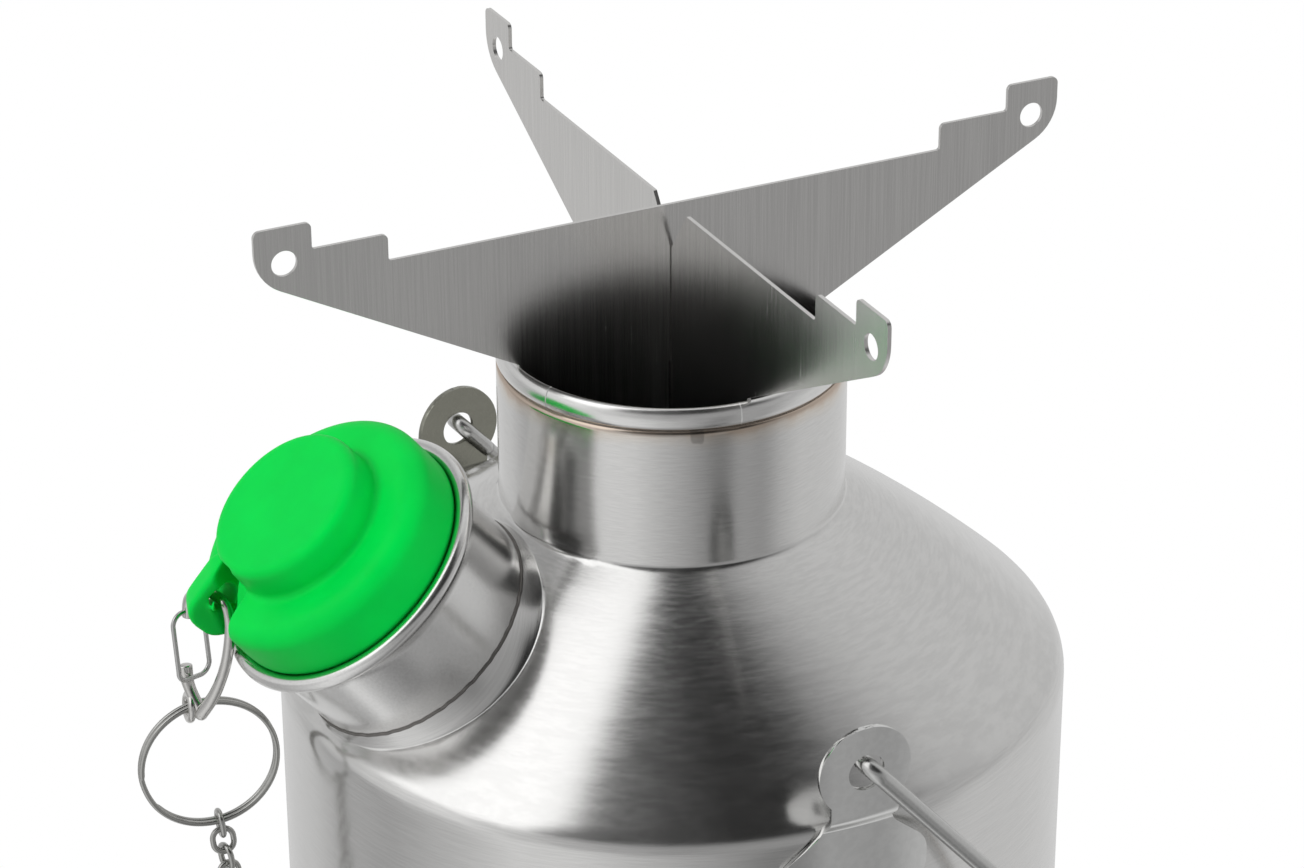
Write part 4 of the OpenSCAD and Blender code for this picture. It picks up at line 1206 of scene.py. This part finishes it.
@dataclass
class Tether:
    """The clip, its wire gate, the split ring and the chain that hold the stopper."""

    clip_at: tuple[float, float, float] = (-83.592 * MM, 8.216 * MM, 201.838 * MM)
    clip_turn: float = -70.0
    lean: float = 7.0
    gate_top: tuple[float, float] = (-6.9, -4.3)
    gate_low: tuple[float, float] = (-5.1, -16.2)
    eye: tuple[float, float] = (-5.9, -22.0)
    gate_r: float = 0.425 * MM
    gate_half: float = 3.6 * MM
    gate_bend: float = 2 * MM
    ring_d: float = 25 * MM
    ring_wire: float = 1 * MM
    ring_turn: float = -10.0
    link_wire: float = 1.05 * MM
    link_len: float = 5.5 * MM
    link_w: float = 4.7 * MM
    end_len: float = 8.5 * MM
    end_w: float = 5.6 * MM
    links: int = 32
    links_upper: int = 27
    bracket_turn: float = -152.4
    bracket_z: float = 87 * MM
    bracket_r: float = 75.1 * MM

    def clip_place(self) -> Matrix:
        """Return the matrix of the clip's frame: x in its plane, z up along it."""
        turn = Matrix.Rotation(math.radians(self.clip_turn), 4, "Z")
        return Matrix.Translation(self.clip_at) @ turn @ Matrix.Rotation(math.radians(-self.lean), 4, "X")

    def in_clip(self, points: np.ndarray) -> np.ndarray:
        """Return points of the clip's plane, given as x and z in millimetres, in the kettle's frame."""
        p = np.atleast_2d(points) * MM
        return moved(np.column_stack([p[:, 0], np.zeros(len(p)), p[:, 1]]), self.clip_place())

    def ring_places(self) -> tuple[np.ndarray, np.ndarray]:
        """Return the split ring's middle and the lowest place where the chain hangs."""
        r = (self.ring_d - self.ring_wire) / 2
        along, top = compass(self.ring_turn), self.in_clip(np.array([self.eye]))[0]
        a, b = math.radians(14), math.radians(6)
        middle = top + r * (math.sin(a) * along - math.cos(a) * UP)
        return middle, middle + r * (math.sin(b) * along - math.cos(b) * UP)

    def build_clip(self, kit: Workshop) -> None:
        """Build the cast hook, its eye and the wire gate as round bars of changing thickness."""
        across = np.array(self.clip_place())[:3, 1]
        back = flowing(np.array([[-6.9, -5.6], [-6.7, -2.2], [-4.3, 0.3], [-1, 0.6], [1.7, -0.4],
                                 [2.95, -3.8],
                                 [2.8, -8.6], [1.8, -13.2], [-0.3, -18.2], [-3.6, -23.2]]), 120)
        u = np.linspace(0, 1, len(back))
        thick = 0.95 + 0.20 * (1 - smoothstep(0.08, 0.30, u)) + 0.25 * smoothstep(0.78, 1.0, u)
        thick[-1], thick[-2], thick[-3] = 0.3, 0.85, 1.1
        thick[0], thick[1] = 0.75, 1.1
        nose = flowing(np.array([[-2.2, -22.3], [-4.8, -20], [-6.6, -17.3], [-7.3, -14.4]]), 48)
        w = np.linspace(0, 1, len(nose))
        blunt = 1.05 + 0.18 * smoothstep(0.5, 0.85, w)
        blunt[-1], blunt[-2], blunt[-3] = 0.35, 0.85, 1.12
        sheet = Sheet()
        sheet.wire(self.in_clip(back), thick * MM, across, 20)
        sheet.wire(self.in_clip(nose), blunt * MM, across, 20)
        eye_turn = Matrix.Rotation(math.radians(self.ring_turn - self.clip_turn - 90), 4, "Z")
        place = self.clip_place() @ Matrix.Translation((self.eye[0] * MM, 0, self.eye[1] * MM)) @ eye_turn
        a = TAU * np.arange(40) / 40
        loop = np.stack([2.2 * MM * np.cos(a), np.zeros(40), 2.2 * MM * np.sin(a)], axis=1)
        sheet.wire(moved(loop, place), 0.7 * MM, np.array(place)[:3, 1], 14, closed=True)
        piece = sheet.make("clip_cast", 60)
        kit.mount(piece, CAST, "clip", "bright_cast", "clip")

        half, bend = self.gate_half, self.gate_bend
        top, low = np.array(self.gate_top) * MM, np.array(self.gate_low) * MM
        arcs = [(1, 1, 0), (-1, 1, 90), (-1, -1, 180), (1, -1, 270)]
        turns = []
        for y_side, z_side, start in arcs:
            end = top if z_side > 0 else low
            c = arc((y_side * (half - bend), end[1] - z_side * bend), bend, start, start + 90, 14)
            turns.append(np.column_stack([np.full(len(c), end[0]), c]))
        loop = np.vstack(turns)
        loop = resampled(np.vstack([loop, loop[:1]]), 120)[:-1]
        gate = Sheet().wire(moved(loop, self.clip_place()), self.gate_r, np.array(self.clip_place())[:3, 0],
                            12,
                            closed=True).make("gate_wire", 60)
        kit.mount(gate, STEEL_WIRE, "gate", "wire_steel", "clip_gate")

    def build_ring(self, kit: Workshop) -> None:
        """Build the split ring: a wire that runs round twice and steps over to its second turn."""
        middle, _ = self.ring_places()
        r, offset = (self.ring_d - self.ring_wire) / 2, self.ring_wire / 2 + 0.01 * MM
        a = np.radians(np.linspace(16, 704, 200))
        side = -offset + 2 * offset * smoothstep(math.radians(344), math.radians(376), a)
        start = math.radians(200)
        along = compass(self.ring_turn)
        out = np.cos(a + start)[:, None] * along + np.sin(a + start)[:, None] * UP
        normal = np.cross(along, UP)
        path = middle + r * out + side[:, None] * normal
        radius = np.full(len(a), self.ring_wire / 2 - 0.01 * MM)
        radius[[0, -1]] *= 0.7
        piece = Sheet().wire(path, radius, normal, 12).make("ring_wire", 60)
        kit.mount(piece, STEEL_CHAIN, "ring", "wire_steel", "split_ring")

    def build_chain(self, kit: Workshop) -> None:
        """Build the chain: stadium links on a catenary between the split ring and the bracket.

        The catenary's size a solves 2 a sinh(run / 2a) = sqrt(length^2 - fall^2) by halving. A link at
        distance s from the lowest point stands at x = x0 - a asinh(s / a), z = z0 + sqrt(a^2 + s^2), turned
        a quarter from its neighbour.
        """
        _, start = self.ring_places()
        end = compass(self.bracket_turn) * self.bracket_r + UP * self.bracket_z
        wire, half = self.link_wire, self.link_len / 2 - self.link_wire / 2
        pitch = self.link_len - 2 * wire - 0.1 * MM
        inside = self.link_w / 2 - wire
        drop = inside + wire / 2 - math.sqrt((inside - self.ring_wire / 2 - 0.2 * MM) ** 2
                                             - (self.ring_wire / 2 + 0.01 * MM) ** 2)
        end_half = self.end_len / 2 - wire / 2
        last_pitch = half + end_half - wire - 0.1 * MM
        length = half - drop + pitch * (self.links - 2) + last_pitch + end_half
        gap = end - start
        run, fall = float(np.hypot(gap[0], gap[1])), float(-gap[2])
        low, high = 3 * MM, 200 * MM
        for _ in range(50):
            a = (low + high) / 2
            if 2 * a * math.sinh(run / (2 * a)) > math.sqrt(length**2 - fall**2):
                low = a
            else:
                high = a
        lead = math.asinh(fall / (2 * a * math.sinh(run / (2 * a))))
        top_x = run / 2 + a * lead
        top_s = a * math.sinh(top_x / a)
        base_z = start[2] - a * math.cosh(top_x / a)
        turn = math.atan2(gap[1], gap[0])
        ring_twist = math.degrees(turn) + 90 - self.ring_turn
        for name, first, last in (("chain_upper", 0, self.links_upper),
                                  ("chain_lower", self.links_upper, self.links)):
            sheet = Sheet()
            for i in range(first, last):
                final = i == self.links - 1
                s = top_s - length + end_half if final else top_s - half + drop - i * pitch
                twist = (90 if i % 2 == 0 else 0) + max(0.0, 1 - i / 6) * ring_twist + 7 * math.sin(i * 2.3)
                spot = Matrix.Translation((start[0], start[1], 0)) @ Matrix.Rotation(turn, 4, "Z")
                spot @= Matrix.Translation((top_x - a * math.asinh(s / a), 0,
                                            base_z + math.sqrt(a * a + s * s)))
                spot @= Matrix.Rotation(math.atan(s / a), 4, "Y") @ Matrix.Rotation(math.radians(twist), 4,
                                                                                    "X")
                size = (self.end_len, self.end_w) if final else (self.link_len, self.link_w)
                loop = self.link(*size)
                sheet.wire(moved(loop, spot), wire / 2, np.array(spot)[:3, 2], 10, closed=True)
            piece = sheet.make(f"{name}_links", 60)
            kit.mount(piece, STEEL_CHAIN, name, "wire_steel", name)

    def link(self, length: float, width: float) -> np.ndarray:
        """Return a link's middle line: two half circles joined by straights."""
        r = width / 2 - self.link_wire / 2
        straight = (length - width) / 2
        right = arc((straight, 0.0), r, -90, 90, 14)
        left = arc((-straight, 0.0), r, 90, 270, 14)
        flat = np.vstack([right, left])
        return np.column_stack([flat, np.zeros(len(flat))])


@dataclass
class Base:
    """The bottom seam of the kettle and the fire bowl under it."""

    seam_z: float = SEAM_Z
    seam_r: float = 70.1 * MM
    foot_r: float = 52 * MM
    rim_r: float = 66.5 * MM
    roll: float = 1.8 * MM
    wall: float = 0.7 * MM
    hole_r: float = 17 * MM
    hole_z: float = 30 * MM
    cone_r: float = 61 * MM
    seam_t: float = 1 * MM
    seam_drop: float = 1.4 * MM
    seam_lip_h: float = 4.6 * MM
    side_spans: int = 60
    steps: int = 360
    hole_margin: float = 3 * MM
    patch_rows: int = 14

    def build(self, kit: Workshop) -> None:
        """Build the seam, the bowl and the bowl's rolled rim."""
        self.build_seam(kit)
        self.build_bowl(kit)

    def build_seam(self, kit: Workshop) -> None:
        """Build the seam as a turned profile."""
        t, out, low = self.seam_t, self.seam_r, self.seam_z - self.seam_drop
        high = low + self.seam_lip_h
        seam = rounded([(self.cone_r, self.seam_z, 0), (out - t / 2, self.seam_z, 0),
                        (out - t / 2, low, 0.3 * MM),
                        (out + t, low, 0.45 * MM), (out + t, high, 0.45 * MM), (out, high, 0.3 * MM),
                        (out, self.seam_z + t, 0), (self.cone_r, self.seam_z + t, 0)], 8)
        piece = Sheet().add(turned(seam, 288), wrap_rows=True, wrap_cols=True).make("seam_ring", 50)
        kit.mount(piece, STEEL_BODY, "kettle", "polished_steel", "bottom_seam")

    def build_bowl(self, kit: Workshop) -> None:
        """Build the bowl as a turned outline with a round hole in its side, and the roll on its rim.

        The side is a grid with a window round the hole. A patch runs from the hole to the window's edge,
        each of its rows straight between them in the side's own width and height.
        """
        roll_z = self.seam_z - 0.3 * MM - self.roll
        line = rounded([(0.4 * MM, 0, 0), (self.foot_r, 0, 6 * MM),
                        (self.rim_r - self.wall / 2, roll_z, 0)], 10, closed=False)
        side = np.linspace(line[-2], line[-1], self.side_spans + 1)
        margin = self.hole_r + self.hole_margin
        inside = np.flatnonzero(abs(side[:, 1] - self.hole_z) < margin)
        first, last = int(inside[0]), int(inside[-1])
        sheet = Sheet()
        for rows in (line[:-1], side[:first + 1], side[last:]):
            sheet.add(turned(rows, self.steps), wrap_cols=True)
        reach = int(math.ceil(math.degrees(margin / side[self.side_spans // 2, 0])))
        ring = np.radians(np.arange(-90 + reach, 270 - reach + 1))
        window = side[first:last + 1]
        sheet.add(np.stack([window[:, :1] * np.cos(ring), window[:, :1] * np.sin(ring),
                            np.broadcast_to(window[:, 1:], (len(window), len(ring)))], axis=2))
        loop = window_edge(np.arange(first, last + 1), np.arange(-reach, reach + 1))
        r_at, row_at = side[loop[:, 0].astype(int)].T
        lateral = r_at * np.sin(np.radians(loop[:, 1]))
        turn = np.arctan2(row_at - self.hole_z, lateral)
        v = np.linspace(0, 1, self.patch_rows)[:, None]
        x = self.hole_r * np.cos(turn) * (1 - v) + lateral * v
        z = (self.hole_z + self.hole_r * np.sin(turn)) * (1 - v) + row_at * v
        r = np.interp(z, side[:, 1], side[:, 0])
        patch = np.stack([x, -np.sqrt(r**2 - x**2), z], axis=2)
        sheet.add(patch, wrap_cols=True)
        bowl = sheet.make("bowl_dish", 50)
        thicken(bowl, self.wall)
        applied(bowl)
        kit.mount(bowl, STEEL_BOWL, "fire_bowl", "bowl_steel", "fire_bowl")
        roll = turned(arc((self.rim_r, roll_z), self.roll, 0, 360, 24)[:-1], 288)
        rim = Sheet().add(roll, wrap_rows=True, wrap_cols=True).make("bowl_roll")
        kit.mount(rim, STEEL_BOWL, "fire_bowl", "bowl_steel")


STEEL_BODY = Steel("Polished shell", (0.76, 0.755, 0.745), 0.18, 0.03, 0.55, pitch=5600.0, bump=0.09,
                   depth=0.92, tint_top=HEM_Z)
# The chimney's sheet carries painted shade inside its bore, darkened below its top.
STEEL_CHIMNEY = Steel("Chimney sheet", (0.84, 0.835, 0.825), 0.22, 0.03, 0.3, pitch=4000.0, bump=0.1,
                      inner_shade_r=29.2 * MM, inner_shade_top=234 * MM)
STEEL_SPOUT = Steel("Spout tube", (0.84, 0.835, 0.825), 0.20, 0.02, marks=Marks.TUMBLED, pitch=2500.0,
                    bump=0.05)
STEEL_WELD = Steel("Weld bead", (0.22, 0.21, 0.20), 0.40, 0.08, marks=Marks.TUMBLED, pitch=900.0, bump=0.3)
STEEL_EAR = Steel("Pressed ear", (0.82, 0.82, 0.81), 0.09, 0.02, marks=Marks.TUMBLED, pitch=700.0, bump=0.01)
# A darker copy of the ear's steel for the far ear: painted shade.
STEEL_EAR_PAINTED_SHADE = Steel("Ear painted shade", (0.35, 0.35, 0.30), 0.20, 0.05, marks=Marks.TUMBLED, pitch=900.0, bump=0.05)
STEEL_WIRE = Steel("Drawn wire", (0.62, 0.62, 0.61), 0.22, 0.04, marks=Marks.TUMBLED, pitch=1500.0, bump=0.05)
STEEL_CHAIN = Steel("Chain wire", (0.52, 0.52, 0.50), 0.20, 0.05, marks=Marks.TUMBLED, pitch=1500.0,
                    bump=0.05)
STEEL_PLATE = Steel("Brushed plate", (0.79, 0.78, 0.765), 0.24, 0.03, marks=Marks.BRUSHED, pitch=4600.0,
                    bump=0.04, depth=0.90)
STEEL_BOWL = Steel("Spun bowl", (0.70, 0.70, 0.69), 0.26, 0.03, 0.5, pitch=4000.0)
CAST = Steel("Cast clip", (0.72, 0.71, 0.69), 0.16, 0.05, marks=Marks.TUMBLED, pitch=1300.0, bump=0.25)
SILICONE = Silicone("Soft silicone")
WOOD = Hardwood("Turned hardwood", centre=(-0.0803, 0.0, -0.09006))


@dataclass
class PlainNodes:
    """The solids that keep their own shape and only get a finish."""

    finishes: dict[str, Steel] = field(default_factory=lambda: {
        "chain_bracket": STEEL_EAR,
        "bracket_rivets": STEEL_WIRE, "whistle_plates": STEEL_WIRE, "whistle_spacer": STEEL_WIRE})

    def build(self, kit: Workshop) -> None:
        """Dress each solid."""
        for name, finish in self.finishes.items():
            kit.dress(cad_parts[name], finish)
            log.info("%s: dressed", name)


# Studio


@dataclass
class Camera:
    """The photograph's camera: place, directions and focal length."""

    place: tuple[float, float, float] = (-0.3301, -0.57094, 0.548)
    ahead: tuple[float, float, float] = (0.44768, 0.76919, -0.45600)
    right: tuple[float, float, float] = (0.86427, -0.50302, 0.0)
    focal_px: float = 4233.2
    middle_px: tuple[float, float] = (682.7, 461.6)
    size_px: tuple[int, int] = (1304, 868)
    sensor: float = 36.0

    def build(self) -> None:
        """Create the camera and make it the scene's own."""
        data = bpy.data.cameras.new("photo_camera")
        width, height = self.size_px
        data.sensor_width, data.sensor_fit = self.sensor, "HORIZONTAL"
        data.lens = self.focal_px * self.sensor / width
        data.shift_x = (width / 2 - self.middle_px[0]) / width
        data.shift_y = (self.middle_px[1] - height / 2) / width
        data.clip_start, data.clip_end = 0.02, 20.0
        f, r = unit(np.array(self.ahead)), unit(np.array(self.right))
        u = np.cross(r, f)
        camera = bpy.data.objects.new("photo_camera", data)
        camera.matrix_world = standing(r, u, -f, self.place)
        bpy.context.scene.collection.objects.link(camera)
        bpy.context.scene.camera = camera


@dataclass(frozen=True)
class Surroundings:
    """How bright the studio is all round, as stops of compass direction in degrees and radiance."""

    name: str
    stops: tuple[tuple[float, float], ...]
    most: float = 2.0

    def radiance(self, n: Nodes, azimuth: bpy.types.NodeSocket) -> bpy.types.NodeSocket:
        """Return the radiance in a direction: the stops joined by straight ramps.

        Args:
            n: The world's node writer.
            azimuth: Direction in degrees, from -180 to 180.

        Returns:
            The radiance.
        """
        ramp = n.add("ShaderNodeValToRGB", {0: n.span(azimuth, -180.0, 180.0, smooth=False)})
        ramp.label = self.name
        ramp.color_ramp.interpolation = "LINEAR"
        points = ramp.color_ramp.elements
        places = [(degrees + 180.0) / 360.0 for degrees, _ in self.stops]
        points[0].position, points[1].position = places[:2]
        for place in places[2:]:
            points.new(place)
        for point, (_, radiance) in zip(points, self.stops):
            value = radiance / self.most
            point.color = (value, value, value, 1.0)
        return n.math("MULTIPLY", ramp.outputs[0], self.most)


@dataclass
class Studio:
    """A white studio: floor, soft lamps and the surroundings that the metal reflects."""

    above: Surroundings = Surroundings("above", (
        (-180, 1.38), (-166, 1.34), (-160, 0.62), (-154, 0.20), (-140, 0.11), (-118, 0.07), (-98, 0.035),
        (-66, 0.03), (-54, 0.09), (-44, 0.27), (-35, 0.40), (-22, 0.57), (0, 0.64), (45, 0.70), (75, 0.60),
        (97, 0.42), (136, 0.38), (141, 0.60), (147, 1.36), (180, 1.38)))
    level: Surroundings = Surroundings("level", (
        (-180, 0.85), (-150, 0.55), (-120, 0.36), (-90, 0.34), (-60, 0.38), (-30, 0.52), (0, 0.62),
                                                 (60, 0.66),
        (120, 0.60), (180, 0.85)))
    below: Surroundings = Surroundings("below", (
        (-180, 0.62), (-165, 0.80), (-145, 0.76), (-128, 0.58), (-108, 0.40), (-92, 0.24), (-84, 0.24),
                                                 (-75, 0.38),
        (-60, 0.34), (-55, 0.36), (-45, 0.50), (-28, 0.64), (0, 0.66), (60, 0.72), (110, 0.64), (125, 0.50),
        (150, 0.42), (180, 0.62)))
    horizon: tuple[float, float, float, float] = (-10.0, 2.0, 18.0, 36.0)
    aim_h: float = 160 * MM

    def build(self) -> None:
        """Build the world, the lamps and the floor."""
        scene = bpy.context.scene
        scene.view_settings.view_transform = "Standard"
        world = bpy.data.worlds.new("studio")
        scene.world = world
        world.use_nodes = True
        n = Nodes(world.node_tree)
        x, y, z = n.split(n.add("ShaderNodeTexCoord").outputs["Generated"])
        azimuth = n.math("MULTIPLY", n.math("ARCTAN2", y, x), 180 / math.pi)
        height = n.math("MULTIPLY", n.math("ARCSINE", z), 180 / math.pi)
        low, mid, high = (band.radiance(n, azimuth) for band in (self.below, self.level, self.above))
        total = n.blend(n.span(height, *self.horizon[2:]),
                        n.blend(n.span(height, *self.horizon[:2]), low, mid), high)
        seen = n.add("ShaderNodeLightPath").outputs["Is Camera Ray"]
        level = n.math("ADD", n.math("MULTIPLY", total, n.math("SUBTRACT", 1.0, seen)), seen)
        n.feed(world.node_tree.nodes["Background"], {"Strength": level, "Color": (1.0, 1.0, 1.0, 1.0)})
        self.lamp("key", (-0.80, -0.10, 1.00), 0.5, 8.0)
        self.lamp("fill", (0.35, -0.95, 0.30), 0.6, 6.0)
        self.floor()

    def lamp(self, name: str, place: tuple[float, float, float], size: float, power: float) -> None:
        """Add one soft square lamp that looks at the kettle's middle and isn't seen in the metal."""
        data = bpy.data.lights.new(name, "AREA")
        data.energy, data.size = power, size
        lamp = bpy.data.objects.new(name, data)
        z = unit(np.array(place) - self.aim_h * UP)
        x = unit(np.cross(UP, z))
        lamp.matrix_world = standing(x, np.cross(z, x), z, place)
        lamp.visible_glossy = False
        bpy.context.scene.collection.objects.link(lamp)

    def floor(self) -> None:
        """Add a pale round floor: shaded close to the foot, and as white as the background further out."""
        a = np.linspace(0, 1, 60) ** 1.5 * 2.4
        grid = turned(np.stack([np.maximum(a, 1e-5), np.full(60, -0.0002)], axis=1), 96)
        piece = Sheet().add(grid, wrap_cols=True).make("floor", outward=False)
        material, n, shader, place = new_material("Pale floor")
        n.feed(shader, {"Base Color": (0.80, 0.80, 0.80, 1.0), "Roughness": 0.7, "Specular IOR Level": 0.1})
        away = n.add("ShaderNodeVectorMath", {0: place}, operation="LENGTH").outputs["Value"]
        white = n.add("ShaderNodeEmission", {"Strength": 1.0})
        mixed = n.add("ShaderNodeMixShader", {0: n.span(away, 0.07, 0.20), 1: shader.outputs[0],
                                              2: white.outputs[0]})
        n.feed(material.node_tree.nodes["Material Output"], {"Surface": mixed.outputs[0]})
        piece.data.materials.append(material)
        piece.visible_glossy = False
        piece.visible_diffuse = False


def main() -> None:
    """Build the studio and every sub-assembly."""
    logging.basicConfig(level=logging.INFO, format="%(name)s %(message)s")
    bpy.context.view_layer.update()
    Camera().build()
    Studio().build()
    kit = Workshop()
    spout, tether = Spout(), Tether()
    Shell().build(kit, spout)
    spout.build(kit)
    Chimney().build(kit)
    for side in (-1, 1):
        Ear(side).build(kit)
    Bail().build(kit)
    PotPlate("pot_plate_lower", 86.4, True).build(kit)
    PotPlate("pot_plate_upper", -3.6, False).build(kit)
    Stopper().build(kit, spout, tether)
    tether.build_clip(kit)
    tether.build_ring(kit)
    tether.build_chain(kit)
    Base().build(kit)
    PlainNodes().build(kit)


if __name__ == "__main__":
    main()
